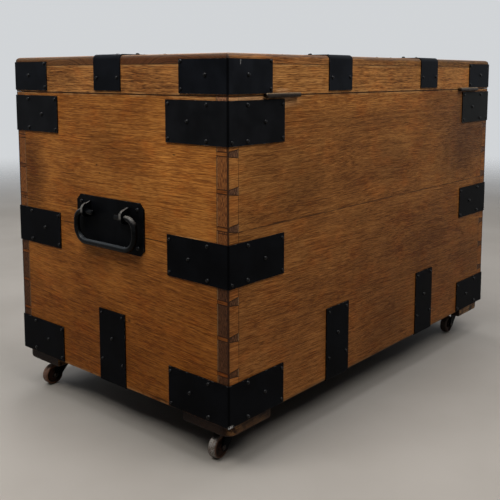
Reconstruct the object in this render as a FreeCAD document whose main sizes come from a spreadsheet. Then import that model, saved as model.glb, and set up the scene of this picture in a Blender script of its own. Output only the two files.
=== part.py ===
import FreeCAD, Part
import Sketcher
import math
import os

# An iron-bound oak chest on swivel casters: dovetailed boards, a framed lid on two butt hinges,
# nailed corner irons and straps, a drop handle on each end and a bolt lock let into the front.
# X runs along the chest, +Y points out of the hinged back, +Z is up and the wheels stand on Z = 0.

doc = FreeCAD.newDocument("iron_bound_chest")
sizes = doc.addObject("Spreadsheet::Sheet", "sizes")

DRIVING_SIZES = (
    # Boards
    ("chest_length", 820.0),
    ("chest_depth", 503.0),
    ("body_height", 464.1),
    ("lid_height", 58.1),
    ("seam_gap", 0.4),
    ("board_thickness", 21.0),
    ("lid_board_thickness", 14.0),
    ("bottom_thickness", 18.0),
    ("lid_edge_radius", 6.0),
    ("body_pins", 9.0),
    ("lid_pins", 1.0),
    ("pin_width_outside", 6.0),
    ("pin_width_inside", 11.5),
    # Irons
    ("iron_thickness", 2.0),
    ("iron_bend_radius", 2.4),
    ("bracket_height", 61.5),
    ("bracket_leg", 120.0),
    ("bottom_bracket_lift", 1.5),
    ("middle_bracket_raise", 1.7),
    ("top_bracket_drop", 5.6),
    ("lid_bracket_lift", 2.7),
    ("lid_bracket_height", 47.9),
    ("lid_bracket_leg", 92.0),
    ("strap_width", 63.5),
    ("strap_inset", 263.5),
    ("base_strap_height", 119.0),
    ("base_strap_return", 60.0),
    ("lid_strap_lift", 4.5),
    ("lid_strap_return", 104.0),
    ("strap_bend_play", 0.2),
    # Hinges
    ("hinge_length", 76.0),
    ("hinge_inset_right", 112.5),
    ("hinge_inset_left", 102.0),
    ("hinge_knuckles", 5.0),
    ("knuckle_radius", 3.6),
    ("hinge_pin_radius", 2.0),
    ("hinge_pin_play", 0.05),
    ("hinge_pin_head_height", 1.2),
    ("hinge_pin_head_radius", 3.2),
    ("hinge_pin_head_chamfer", 0.5),
    ("hinge_pin_end_play", 0.1),
    ("hinge_play", 0.3),
    ("axis_stand_off", 5.0),
    ("leaf_thickness", 1.8),
    ("leaf_width", 20.0),
    ("leaf_screw_radius", 1.9),
    ("leaf_screw_sink", 1.3),
    ("leaf_screw_inset", 11.0),
    ("leaf_screw_spacing", 29.0),
    # Handles
    ("handle_height", 260.3),
    ("handle_plate_length", 163.0),
    ("handle_plate_height", 81.4),
    ("handle_plate_thickness", 2.5),
    ("handle_plate_corner", 9.0),
    ("bail_pivot_rise", 16.3),
    ("bail_stand_off", 12.0),
    ("bail_rod_radius", 4.75),
    ("bail_play", 0.09),
    ("bail_end", 27.0),
    ("bail_reach", 71.0),
    ("bail_drop", 49.0),
    ("bail_shoulder_radius", 17.0),
    ("bail_foot_radius", 24.0),
    ("bail_end_chamfer", 1.6),
    ("ear_spacing", 95.0),
    ("ear_thickness", 5.0),
    ("ear_wall", 3.5),
    ("ear_hood_rise", 2.0),
    ("ear_root_rise", 8.4),
    ("ear_root_drop", 2.0),
    # Casters
    ("block_thickness", 17.5),
    ("block_side", 92.0),
    ("block_inset", 2.8),
    ("block_corner_radius", 18.0),
    ("block_edge_radius", 5.0),
    ("swivel_inset", 46.0),
    ("caster_plate_side", 42.0),
    ("caster_plate_corner", 5.0),
    ("caster_plate_thickness", 2.5),
    ("race_radius", 13.0),
    ("race_depth", 2.2),
    ("kingpin_radius", 4.0),
    ("kingpin_play", 0.06),
    ("kingpin_head_radius", 6.5),
    ("kingpin_head_height", 2.0),
    ("kingpin_head_chamfer", 1.0),
    ("crown_thickness", 3.0),
    ("crown_reach", 13.0),
    ("swivel_play", 0.3),
    ("trail", 21.0),
    ("horn_boss_radius", 6.5),
    ("horn_round_radius", 6.3),
    ("wheel_crown_gap", 4.5),
    ("wheel_radius", 17.5),
    ("wheel_width", 14.0),
    ("tread_chamfer", 2.0),
    ("rim_depth", 3.2),
    ("dish_depth", 3.0),
    ("dish_slope", 0.8),
    ("hub_radius", 6.0),
    ("hub_width", 15.0),
    ("wheel_side_gap", 0.7),
    ("cheek_thickness", 2.5),
    ("axle_radius", 2.5),
    ("axle_play", 0.08),
    ("axle_grip_play", 0.05),
    ("axle_end_play", 0.05),
    ("axle_head_radius", 4.0),
    ("axle_head_height", 1.6),
    # Lock
    ("lock_width", 70.0),
    ("lock_height", 50.0),
    ("lock_depth", 13.0),
    ("lock_wall", 1.5),
    ("lock_plate", 2.5),
    ("lock_play", 0.2),
    ("lock_ledge", 3.0),
    ("key_post_radius", 1.4),
    ("link_set_in", 7.0),
    ("link_plate_length", 56.0),
    ("link_plate_width", 15.0),
    ("link_plate_thickness", 2.0),
    ("staple_spacing", 34.0),
    ("staple_thickness", 3.5),
    ("staple_width", 8.0),
    ("staple_drop", 12.0),
    ("staple_play", 0.9),
    ("eye_play", 0.5),
    ("bolt_thickness", 3.6),
    ("bolt_height", 12.0),
    ("bolt_below_staples", 1.5),
    ("bolt_tail", 8.0),
    ("hook_reach", 6.0),
    ("hook_width", 4.0),
    ("hook_height", 4.2),
    ("hook_depth", 5.2),
    ("hook_stand_off", 1.2),
    ("talon_radius", 4.0),
    ("keyhole_drop", 36.0),
    ("keyhole_radius", 3.2),
    ("keyhole_slot_width", 3.6),
    ("keyhole_slot_length", 9.5),
    ("escutcheon_width", 24.0),
    ("escutcheon_height", 38.0),
    ("escutcheon_corner", 11.5),
    ("escutcheon_drop", 2.0),
    ("escutcheon_thickness", 1.5),
)
for row, (alias, millimetres) in enumerate(DRIVING_SIZES, start=1):
    sizes.set(f"A{row}", alias.replace("_", " "))
    sizes.set(f"B{row}", str(millimetres))
    sizes.setAlias(f"B{row}", alias)
doc.recompute()

# Heights above the floor, and the planes of the outer faces, as expressions on the sheet.
PLATE_FOOT = (
    "(sizes.wheel_radius * 2 + sizes.wheel_crown_gap + sizes.crown_thickness"
    " + sizes.swivel_play + sizes.race_depth)"
)
BLOCK_FOOT = f"({PLATE_FOOT} + sizes.caster_plate_thickness)"
UNDERSIDE = f"({BLOCK_FOOT} + sizes.block_thickness)"
RIM = f"({UNDERSIDE} + sizes.body_height)"
LID_FOOT = f"({RIM} + sizes.seam_gap)"
HALF_LENGTH = "(sizes.chest_length / 2)"
HALF_DEPTH = "(sizes.chest_depth / 2)"
RAIL_HEIGHT = "(sizes.lid_height - sizes.lid_board_thickness)"

# Which way each side of the chest faces: outward is local +Y, turned about Z by this many degrees.
BACK, LEFT, FRONT, RIGHT = 0.0, 90.0, 180.0, 270.0

subparts = []


def new_body(label):
    return doc.addObject("PartDesign::Body", label)


def keep(piece, label):
    """Marks a finished piece as a sub-part and gives it its name."""
    piece.Label = label
    subparts.append(piece)
    return piece


def place(piece, x="0", y="0", z="0", turn=0.0):
    """Puts a piece at a point of the chest, turned about the vertical."""
    piece.Placement = FreeCAD.Placement(
        FreeCAD.Vector(0, 0, 0), FreeCAD.Rotation(FreeCAD.Vector(0, 0, 1), turn)
    )
    for axis, expression in (("x", x), ("y", y), ("z", z)):
        piece.setExpression(f"Placement.Base.{axis}", expression)


def origin_feature(body, role):
    return next(f for f in body.Origin.OriginFeatures if f.Role == role)


def sketch_on(body, role, offset="0"):
    """An empty sketch on one of the body's own origin planes, moved along the plane's normal."""
    sketch = body.newObject("Sketcher::SketchObject", "sketch")
    sketch.AttachmentSupport = [(origin_feature(body, role), "")]
    sketch.MapMode = "FlatFace"
    sketch.setExpression("AttachmentOffset.Base.z", offset)
    return sketch


def bind(sketch, constraint, expression, name):
    """Adds a dimension whose value follows the sheet."""
    index = sketch.addConstraint(constraint)
    sketch.renameConstraint(index, name)
    sketch.setExpression(f"Constraints.{name}", expression)


def outline(sketch, corners, closed=True):
    """Straight runs between corners (x, y) or (x, y, radius), all given as expressions.

    A corner with a radius is an arc tangent to both runs, and its sharp point is kept as construction.
    """
    points = [FreeCAD.Vector(float(sketch.evalExpression(c[0])), float(sketch.evalExpression(c[1])), 0)
              for c in corners]
    count = len(corners)
    entry, leave, bends = list(points), list(points), [None] * count
    for i, corner in enumerate(corners):
        if len(corner) < 3:
            continue
        radius = float(sketch.evalExpression(corner[2]))
        back = (points[i - 1] - points[i]).normalize()
        ahead = (points[(i + 1) % count] - points[i]).normalize()
        half = back.getAngle(ahead) / 2
        entry[i] = points[i] + back * (radius / math.tan(half))
        leave[i] = points[i] + ahead * (radius / math.tan(half))
        centre = points[i] + (back + ahead).normalize() * (radius / math.sin(half))
        turns_left = ahead.cross(back).z > 0
        first, last = (entry[i], leave[i]) if turns_left else (leave[i], entry[i])
        start = math.atan2(first.y - centre.y, first.x - centre.x)
        stop = math.atan2(last.y - centre.y, last.x - centre.x)
        if stop < start:
            stop += 2 * math.pi
        whole = Part.Circle(centre, FreeCAD.Vector(0, 0, 1), radius)
        bends[i] = (Part.ArcOfCircle(whole, start, stop), radius, (1, 2) if turns_left else (2, 1))
    runs = []
    for i in range(count if closed else count - 1):
        runs.append(sketch.addGeometry(Part.LineSegment(leave[i], entry[(i + 1) % count])))
    for i, corner in enumerate(corners):
        before = runs[i - 1] if closed or i > 0 else None
        after = runs[i] if i < len(runs) else None
        if bends[i] is None:
            if before is not None and after is not None:
                sketch.addConstraint(Sketcher.Constraint("Coincident", before, 2, after, 1))
            run, end = (after, 1) if after is not None else (before, 2)
        else:
            shape, radius, ends = bends[i]
            arc = sketch.addGeometry(shape)
            sketch.addConstraint(Sketcher.Constraint("Tangent", before, 2, arc, ends[0]))
            sketch.addConstraint(Sketcher.Constraint("Tangent", arc, ends[1], after, 1))
            bind(sketch, Sketcher.Constraint("Radius", arc, radius), corner[2], f"radius_{i}")
            run, end = sketch.addGeometry(Part.Point(points[i]), True), 1
            sketch.addConstraint(Sketcher.Constraint("PointOnObject", run, 1, before))
            sketch.addConstraint(Sketcher.Constraint("PointOnObject", run, 1, after))
        across = Sketcher.Constraint("DistanceX", -1, 1, run, end, points[i].x)
        up = Sketcher.Constraint("DistanceY", -1, 1, run, end, points[i].y)
        bind(sketch, across, corner[0], f"across_{i}")
        bind(sketch, up, corner[1], f"up_{i}")
    return sketch


def rectangle(sketch, left, low, right, high):
    return outline(sketch, [(left, low), (right, low), (right, high), (left, high)])


def circle(sketch, x, y, radius, name="circle"):
    numbers = [float(sketch.evalExpression(e)) for e in (x, y, radius)]
    centre = FreeCAD.Vector(numbers[0], numbers[1], 0)
    ring = sketch.addGeometry(Part.Circle(centre, FreeCAD.Vector(0, 0, 1), numbers[2]))
    bind(sketch, Sketcher.Constraint("Radius", ring, numbers[2]), radius, f"{name}_radius")
    bind(sketch, Sketcher.Constraint("DistanceX", -1, 1, ring, 3, numbers[0]), x, f"{name}_across")
    bind(sketch, Sketcher.Constraint("DistanceY", -1, 1, ring, 3, numbers[1]), y, f"{name}_up")
    return sketch


def pad(body, sketch, length, both_ways=False, reverse=False):
    feature = body.newObject("PartDesign::Pad", "pad")
    feature.Profile = sketch
    feature.SideType = "Symmetric" if both_ways else "One side"
    feature.Reversed = reverse
    feature.setExpression("Length", length)
    doc.recompute()
    return feature


def pocket(body, sketch, length=None, reverse=False):
    """Cuts a sketch out of the body, right through both ways if it has no length."""
    before = body.Tip.Shape.Volume
    feature = body.newObject("PartDesign::Pocket", "pocket")
    feature.Profile = sketch
    if length is None:
        feature.SideType = "Symmetric"
        feature.Type = "ThroughAll"
    else:
        feature.Reversed = reverse
        feature.setExpression("Length", length)
    doc.recompute()
    if feature.Shape.Volume > before - 1e-3:
        raise RuntimeError(f"a pocket of {body.Name} cuts nothing")
    return feature


def repeat(body, features, role, extent, occurrences):
    """Repeats features along an origin axis, over the whole extent."""
    pattern = body.newObject("PartDesign::LinearPattern", "pattern")
    pattern.Originals = features
    pattern.Direction = (origin_feature(body, role), [""])
    pattern.setExpression("Length", extent)
    pattern.setExpression("Occurrences", occurrences)
    body.Tip = pattern
    doc.recompute()
    return pattern


def revolve(body, sketch):
    feature = body.newObject("PartDesign::Revolution", "revolution")
    feature.Profile = sketch
    feature.ReferenceAxis = (sketch, ["V_Axis"])
    feature.Angle = 360.0
    doc.recompute()
    return feature


def ease_edges(body, kind, chosen, size):
    """Fillets or chamfers the edges of the body's last feature for which chosen(edge) is true."""
    last = body.Tip
    names = [f"Edge{i}" for i, edge in enumerate(last.Shape.Edges, start=1) if chosen(edge)]
    feature = body.newObject(f"PartDesign::{kind}", kind.lower())
    feature.Base = (last, names)
    feature.setExpression("Radius" if kind == "Fillet" else "Size", size)
    doc.recompute()
    return feature


def number(expression):
    return float(sizes.evalExpression(expression))


def group(label, bodies):
    """Like pieces that share one name, as separate solids."""
    compound = doc.addObject("Part::Compound", label)
    compound.Links = bodies
    doc.recompute()
    return keep(compound, label)


# ---- Boards ------------------------------------------------------------------------------------
# Every wall stands with its outer face on local y = 0 and its foot on z = 0. Front and back carry the
# tails, and the ends carry the pins: narrow at the outside face and wide at the inside face.


def tail_board(label, height, pins):
    board = new_body(label)
    face = rectangle(sketch_on(board, "XZ_Plane"), f"-{HALF_LENGTH}", "0", HALF_LENGTH, height)
    pad(board, face, "sizes.board_thickness")
    cuts = []
    middle = f"{height} / {pins} / 2"
    inner = f"({HALF_LENGTH} - sizes.board_thickness)"
    for side in ("-", ""):
        socket = sketch_on(board, "XZ_Plane")
        outline(socket, [
            (f"{side}{HALF_LENGTH}", f"{middle} - sizes.pin_width_outside / 2"),
            (f"{side}{HALF_LENGTH}", f"{middle} + sizes.pin_width_outside / 2"),
            (f"{side}{inner}", f"{middle} + sizes.pin_width_inside / 2"),
            (f"{side}{inner}", f"{middle} - sizes.pin_width_inside / 2"),
        ])
        cuts.append(pocket(board, socket))
    if number(pins) > 1:
        repeat(board, cuts, "Z_Axis", f"{height} * ({pins} - 1) / {pins}", pins)
    return board


def pin_board(label, height, pins):
    board = new_body(label)
    face = rectangle(sketch_on(board, "XZ_Plane"), f"-{HALF_DEPTH}", "0", HALF_DEPTH, height)
    pad(board, face, "sizes.board_thickness")
    cuts = []
    pitch = f"({height} / {pins})"
    wide = f"(({pitch} - sizes.pin_width_outside) / 2)"
    narrow = f"(({pitch} - sizes.pin_width_inside) / 2)"
    for side, reverse in (("", False), ("-", True)):
        socket = sketch_on(board, "YZ_Plane", f"{side}{HALF_DEPTH}")
        outline(socket, [
            ("0", f"-{wide}"),
            ("0", wide),
            ("-sizes.board_thickness", narrow),
            ("-sizes.board_thickness", f"-{narrow}"),
        ])
        cuts.append(pocket(board, socket, "sizes.board_thickness", reverse))
    repeat(board, cuts, "Z_Axis", height, f"{pins} + 1")
    return board


def cut_leaf_mortises(board, level, reverse):
    """Shallow seats for the two hinge leaves, cut into the board's edge at this level."""
    for centre in HINGE_CENTRES.values():
        seat = sketch_on(board, "XY_Plane", level)
        left = f"{centre} - sizes.hinge_length / 2 - sizes.hinge_play"
        right = f"{centre} + sizes.hinge_length / 2 + sizes.hinge_play"
        rectangle(seat, left, "-sizes.leaf_width", right, "0")
        pocket(board, seat, "sizes.leaf_thickness", reverse)


HINGE_CENTRES = {
    "right": f"({HALF_LENGTH} - sizes.hinge_inset_right)",
    "left": f"(sizes.hinge_inset_left - {HALF_LENGTH})",
}
BODY_HEIGHT = "sizes.body_height"
LINK_MIDDLE = "(sizes.link_set_in - sizes.board_thickness)"
KEYHOLE_LEVEL = "(-sizes.keyhole_drop)"


def cut_keyhole(body, level):
    """A round eye with a slot hanging from its middle, right through the body."""
    circle(sketch_on(body, "XZ_Plane"), "0", level, "sizes.keyhole_radius")
    pocket(body, body.Group[-1])
    slot = sketch_on(body, "XZ_Plane")
    half = "sizes.keyhole_slot_width / 2"
    rectangle(slot, f"-{half}", f"{level} - sizes.keyhole_slot_length", half, level)
    pocket(body, slot)


front_board = tail_board("front_board", BODY_HEIGHT, "sizes.body_pins")
lock_seat = sketch_on(front_board, "XZ_Plane", "sizes.board_thickness")
rectangle(
    lock_seat,
    "-sizes.lock_width / 2 - sizes.lock_play",
    "sizes.body_height - sizes.lock_height - sizes.lock_play",
    "sizes.lock_width / 2 + sizes.lock_play",
    "sizes.body_height",
)
pocket(front_board, lock_seat, "sizes.lock_depth + sizes.lock_play")
cut_keyhole(front_board, f"sizes.body_height + {KEYHOLE_LEVEL}")
place(keep(front_board, "front_board"), y=f"-{HALF_DEPTH}", z=UNDERSIDE, turn=FRONT)

back_board = tail_board("back_board", BODY_HEIGHT, "sizes.body_pins")
cut_leaf_mortises(back_board, BODY_HEIGHT, reverse=False)
place(keep(back_board, "back_board"), y=HALF_DEPTH, z=UNDERSIDE, turn=BACK)

for name, side, turn in (("left_end_board", "-", LEFT), ("right_end_board", "", RIGHT)):
    end_board = keep(pin_board(name, BODY_HEIGHT, "sizes.body_pins"), name)
    place(end_board, x=f"{side}{HALF_LENGTH}", z=UNDERSIDE, turn=turn)

bottom_board = keep(new_body("bottom_board"), "bottom_board")
inner_length = f"({HALF_LENGTH} - sizes.board_thickness)"
inner_depth = f"({HALF_DEPTH} - sizes.board_thickness)"
floor_outline = sketch_on(bottom_board, "XY_Plane")
rectangle(floor_outline, f"-{inner_length}", f"-{inner_depth}", inner_length, inner_depth)
pad(bottom_board, floor_outline, "sizes.bottom_thickness")
place(bottom_board, z=UNDERSIDE)

# ---- Lid ---------------------------------------------------------------------------------------

lid_front_rail = tail_board("lid_front_rail", RAIL_HEIGHT, "sizes.lid_pins")
link_seat = sketch_on(lid_front_rail, "XY_Plane")
rectangle(
    link_seat,
    "-sizes.link_plate_length / 2 - sizes.lock_play",
    f"{LINK_MIDDLE} - sizes.link_plate_width / 2 - sizes.lock_play",
    "sizes.link_plate_length / 2 + sizes.lock_play",
    f"{LINK_MIDDLE} + sizes.link_plate_width / 2 + sizes.lock_play",
)
pocket(lid_front_rail, link_seat, "sizes.link_plate_thickness", reverse=True)
place(keep(lid_front_rail, "lid_front_rail"), y=f"-{HALF_DEPTH}", z=LID_FOOT, turn=FRONT)

lid_back_rail = tail_board("lid_back_rail", RAIL_HEIGHT, "sizes.lid_pins")
cut_leaf_mortises(lid_back_rail, "0", reverse=True)
place(keep(lid_back_rail, "lid_back_rail"), y=HALF_DEPTH, z=LID_FOOT, turn=BACK)

for name, side, turn in (("lid_left_rail", "-", LEFT), ("lid_right_rail", "", RIGHT)):
    end_rail = keep(pin_board(name, RAIL_HEIGHT, "sizes.lid_pins"), name)
    place(end_rail, x=f"{side}{HALF_LENGTH}", z=LID_FOOT, turn=turn)

lid_top_board = keep(new_body("lid_top_board"), "lid_top_board")
top_outline = sketch_on(lid_top_board, "XY_Plane")
rectangle(top_outline, f"-{HALF_LENGTH}", f"-{HALF_DEPTH}", HALF_LENGTH, HALF_DEPTH)
pad(lid_top_board, top_outline, "sizes.lid_board_thickness")
top_level = number("sizes.lid_board_thickness")
ease_edges(
    lid_top_board,
    "Fillet",
    lambda edge: all(abs(v.Z - top_level) < 1e-6 for v in edge.Vertexes),
    "sizes.lid_edge_radius",
)
place(lid_top_board, z=f"{LID_FOOT} + {RAIL_HEIGHT}")

# ---- Corner irons and straps -------------------------------------------------------------------
# Each corner iron is a flat bar folded once round the chest's edge, with its legs on local -X and -Y.

CORNERS = {
    "back_right": ("", "", 0.0),
    "back_left": ("-", "", 90.0),
    "front_left": ("-", "-", 180.0),
    "front_right": ("", "-", 270.0),
}


def corner_iron(label, leg, height):
    iron = new_body(label)
    skin = "sizes.iron_thickness"
    outline(sketch_on(iron, "XY_Plane"), [
        (skin, skin, "sizes.iron_bend_radius"),
        (f"-{leg}", skin),
        (f"-{leg}", "0"),
        ("0", "0"),
        ("0", f"-{leg}"),
        (skin, f"-{leg}"),
    ])
    pad(iron, iron.Group[0], height)
    return keep(iron, label)


TOP_BRACKET = f"({RIM} - sizes.top_bracket_drop - sizes.bracket_height)"
BOTTOM_BRACKET = f"({UNDERSIDE} + sizes.bottom_bracket_lift)"
TIERS = {
    "top": TOP_BRACKET,
    "middle": f"(({TOP_BRACKET} + {BOTTOM_BRACKET}) / 2 + sizes.middle_bracket_raise)",
    "bottom": BOTTOM_BRACKET,
}
for corner, (x_side, y_side, turn) in CORNERS.items():
    at = {"x": f"{x_side}{HALF_LENGTH}", "y": f"{y_side}{HALF_DEPTH}"}
    for tier, foot in TIERS.items():
        iron = corner_iron(f"{tier}_bracket_{corner}", "sizes.bracket_leg", "sizes.bracket_height")
        place(iron, z=foot, turn=turn, **at)
    lid_iron = corner_iron(
        f"lid_bracket_{corner}", "sizes.lid_bracket_leg", "sizes.lid_bracket_height"
    )
    place(lid_iron, z=f"{LID_FOOT} + sizes.lid_bracket_lift", turn=turn, **at)


def strap(label, corners):
    """A flat bar folded over an edge, its section drawn across and extruded over its width."""
    bar = new_body(label)
    outline(sketch_on(bar, "YZ_Plane"), corners)
    pad(bar, bar.Group[0], "sizes.strap_width", both_ways=True)
    return bar


SKIN = "sizes.iron_thickness"
STRAP_MIDDLE = f"({HALF_LENGTH} - sizes.strap_inset)"
STRAP_PLACES = (
    {"x": STRAP_MIDDLE, "y": HALF_DEPTH, "turn": BACK},
    {"x": f"-{STRAP_MIDDLE}", "y": HALF_DEPTH, "turn": BACK},
    {"x": STRAP_MIDDLE, "y": f"-{HALF_DEPTH}", "turn": FRONT},
    {"x": f"-{STRAP_MIDDLE}", "y": f"-{HALF_DEPTH}", "turn": FRONT},
    {"x": HALF_LENGTH, "turn": RIGHT},
    {"x": f"-{HALF_LENGTH}", "turn": LEFT},
)
# The lid straps turn over the rounded edge of the lid and lie on its top.
lid_straps = []
for index, where in enumerate(STRAP_PLACES):
    lid_straps.append(strap(f"lid_strap_{index}", [
        ("0", "sizes.lid_strap_lift"),
        (SKIN, "sizes.lid_strap_lift"),
        (SKIN, f"sizes.lid_height + {SKIN}", f"sizes.lid_edge_radius + {SKIN}"),
        ("-sizes.lid_strap_return", f"sizes.lid_height + {SKIN}"),
        ("-sizes.lid_strap_return", "sizes.lid_height"),
        ("0", "sizes.lid_height", "sizes.lid_edge_radius - sizes.strap_bend_play"),
    ]))
    place(lid_straps[-1], z=LID_FOOT, **where)
group("lid_straps", lid_straps)

# The base straps run down the wall and turn under the bottom.
base_straps = []
for index, where in enumerate(STRAP_PLACES):
    base_straps.append(strap(f"base_strap_{index}", [
        ("0", "sizes.base_strap_height"),
        (SKIN, "sizes.base_strap_height"),
        (SKIN, f"-{SKIN}", "sizes.iron_bend_radius"),
        ("-sizes.base_strap_return", f"-{SKIN}"),
        ("-sizes.base_strap_return", "0"),
        ("0", "0"),
    ]))
    place(base_straps[-1], z=UNDERSIDE, **where)
group("base_straps", base_straps)

# ---- Hinges ------------------------------------------------------------------------------------
# Butt hinges with the barrel standing clear of the back. Local origin is the pin's middle, in the seam.

KNUCKLE = "(sizes.hinge_length / sizes.hinge_knuckles)"
BARREL_CLEAR = "(sizes.knuckle_radius + sizes.hinge_play)"


def hinge_leaf(label, low, high, first_gap, gaps):
    leaf = new_body(label)
    flap = sketch_on(leaf, "YZ_Plane")
    rectangle(flap, "-sizes.axis_stand_off - sizes.leaf_width", low, "0", high)
    pad(leaf, flap, "sizes.hinge_length", both_ways=True)
    barrel = circle(sketch_on(leaf, "YZ_Plane"), "0", "0", "sizes.knuckle_radius")
    pad(leaf, barrel, "sizes.hinge_length", both_ways=True)
    start = f"-sizes.hinge_length / 2 + {KNUCKLE} * {first_gap} - sizes.hinge_play / 2"
    gap = sketch_on(leaf, "YZ_Plane", start)
    rectangle(gap, f"-{BARREL_CLEAR}", f"-{BARREL_CLEAR}", BARREL_CLEAR, BARREL_CLEAR)
    cut = pocket(leaf, gap, f"{KNUCKLE} + sizes.hinge_play", reverse=True)
    repeat(leaf, [cut], "X_Axis", f"{KNUCKLE} * 2 * ({gaps} - 1)", f"{gaps}")
    pin_hole = sketch_on(leaf, "YZ_Plane")
    circle(pin_hole, "0", "0", "sizes.hinge_pin_radius + sizes.hinge_pin_play")
    pocket(leaf, pin_hole)
    screw_line = "-sizes.axis_stand_off - sizes.leaf_screw_inset"
    screw_holes = sketch_on(leaf, "XY_Plane")
    for hole in (-1, 0, 1):
        at = f"sizes.leaf_screw_spacing * {hole}"
        circle(screw_holes, at, screw_line, "sizes.leaf_screw_radius", f"hole_{hole + 1}")
    pocket(leaf, screw_holes)
    seam_level = number("sizes.seam_gap / 2")
    ease_edges(
        leaf,
        "Chamfer",
        lambda edge: edge.BoundBox.YMax < number(f"{screw_line} + sizes.leaf_screw_radius * 2")
        and isinstance(edge.Curve, Part.Circle)
        and abs(abs(edge.CenterOfMass.z) - seam_level) < 1e-3,
        "sizes.leaf_screw_sink",
    )
    return keep(leaf, label)


def hinge_pin(label):
    """A plain pin with a flat head at each end of the barrel."""
    pin = new_body(label)
    half = "(sizes.hinge_length / 2 + sizes.hinge_pin_end_play)"
    end = f"({half} + sizes.hinge_pin_head_height)"
    shank = "sizes.hinge_pin_radius"
    head = "sizes.hinge_pin_head_radius"
    crown = "sizes.hinge_pin_head_radius - sizes.hinge_pin_head_chamfer"
    outline(sketch_on(pin, "XY_Plane"), [
        ("0", f"-{end}"),
        (crown, f"-{end}"),
        (head, f"-{half}"),
        (shank, f"-{half}"),
        (shank, half),
        (head, half),
        (crown, end),
        ("0", end),
    ])
    revolve(pin, pin.Group[0])
    return keep(pin, label)


SEAM = f"({RIM} + sizes.seam_gap / 2)"
HINGE_AXIS_Y = f"({HALF_DEPTH} + sizes.axis_stand_off)"
LEAF_FACE = "(sizes.seam_gap / 2)"
LEAF_BACK = "(sizes.seam_gap / 2 + sizes.leaf_thickness)"
for side, centre in HINGE_CENTRES.items():
    at = {"x": centre, "y": HINGE_AXIS_Y, "z": SEAM}
    body_leaf = hinge_leaf(f"hinge_body_leaf_{side}", f"-{LEAF_BACK}", f"-{LEAF_FACE}", 1, 2)
    place(body_leaf, **at)
    lid_leaf = hinge_leaf(f"hinge_lid_leaf_{side}", LEAF_FACE, LEAF_BACK, 0, 3)
    place(lid_leaf, **at)
    pin = hinge_pin(f"hinge_pin_{side}")
    place(pin, turn=90.0, **at)

# ---- Drop handles ------------------------------------------------------------------------------
# A forged bail hangs from two hooded ears on a clipped plate. Local origin is the plate's middle.


def handle_plate(label):
    plate = new_body(label)
    half_x = "(sizes.handle_plate_length / 2)"
    half_z = "(sizes.handle_plate_height / 2)"
    cut_x = f"({half_x} - sizes.handle_plate_corner)"
    cut_z = f"({half_z} - sizes.handle_plate_corner)"
    outline(sketch_on(plate, "XZ_Plane"), [
        (f"-{cut_x}", f"-{half_z}"),
        (cut_x, f"-{half_z}"),
        (half_x, f"-{cut_z}"),
        (half_x, cut_z),
        (cut_x, half_z),
        (f"-{cut_x}", half_z),
        (f"-{half_x}", cut_z),
        (f"-{half_x}", f"-{cut_z}"),
    ])
    pad(plate, plate.Group[0], "sizes.handle_plate_thickness", reverse=True)
    ear_radius = "(sizes.bail_rod_radius + sizes.ear_wall)"
    front = f"(sizes.bail_stand_off + {ear_radius})"
    root = "(sizes.handle_plate_thickness / 2)"
    foot = f"(sizes.bail_pivot_rise - {ear_radius})"
    hood = f"(sizes.bail_pivot_rise + {ear_radius})"
    for side in ("-", ""):
        ear = sketch_on(plate, "YZ_Plane", f"{side}sizes.ear_spacing / 2")
        outline(ear, [
            (root, f"{foot} - sizes.ear_root_drop"),
            (front, foot, ear_radius),
            (front, f"{hood} + sizes.ear_hood_rise", ear_radius),
            (root, f"{hood} + sizes.ear_root_rise"),
        ])
        pad(plate, ear, "sizes.ear_thickness", both_ways=True)
    eye = sketch_on(plate, "YZ_Plane")
    circle(
        eye, "sizes.bail_stand_off", "sizes.bail_pivot_rise", "sizes.bail_rod_radius + sizes.bail_play"
    )
    pocket(plate, eye)
    return keep(plate, label)


def bend(rod, start, level, radius, upward):
    """Turns the bar through a right angle, from a level run that ends at local x = start."""
    section = circle(sketch_on(rod, "YZ_Plane", start), "0", level, "sizes.bail_rod_radius")
    centre = f"{level} + {radius}" if upward else f"{level} - {radius}"
    height = float(section.evalExpression(centre))
    line = Part.LineSegment(FreeCAD.Vector(0, height, 0), FreeCAD.Vector(1, height, 0))
    axis = section.addGeometry(line, True)
    section.addConstraint(Sketcher.Constraint("PointOnObject", axis, 1, -2))
    section.addConstraint(Sketcher.Constraint("Horizontal", axis))
    section.addConstraint(Sketcher.Constraint("Distance", axis, 1.0))
    bind(section, Sketcher.Constraint("DistanceY", -1, 1, axis, 1, height), centre, "axis_up")
    feature = rod.newObject("PartDesign::Revolution", "bend")
    feature.Profile = section
    feature.ReferenceAxis = (section, ["Axis0"])
    feature.Angle = 90.0
    feature.Reversed = upward
    doc.recompute()
    return feature


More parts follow.
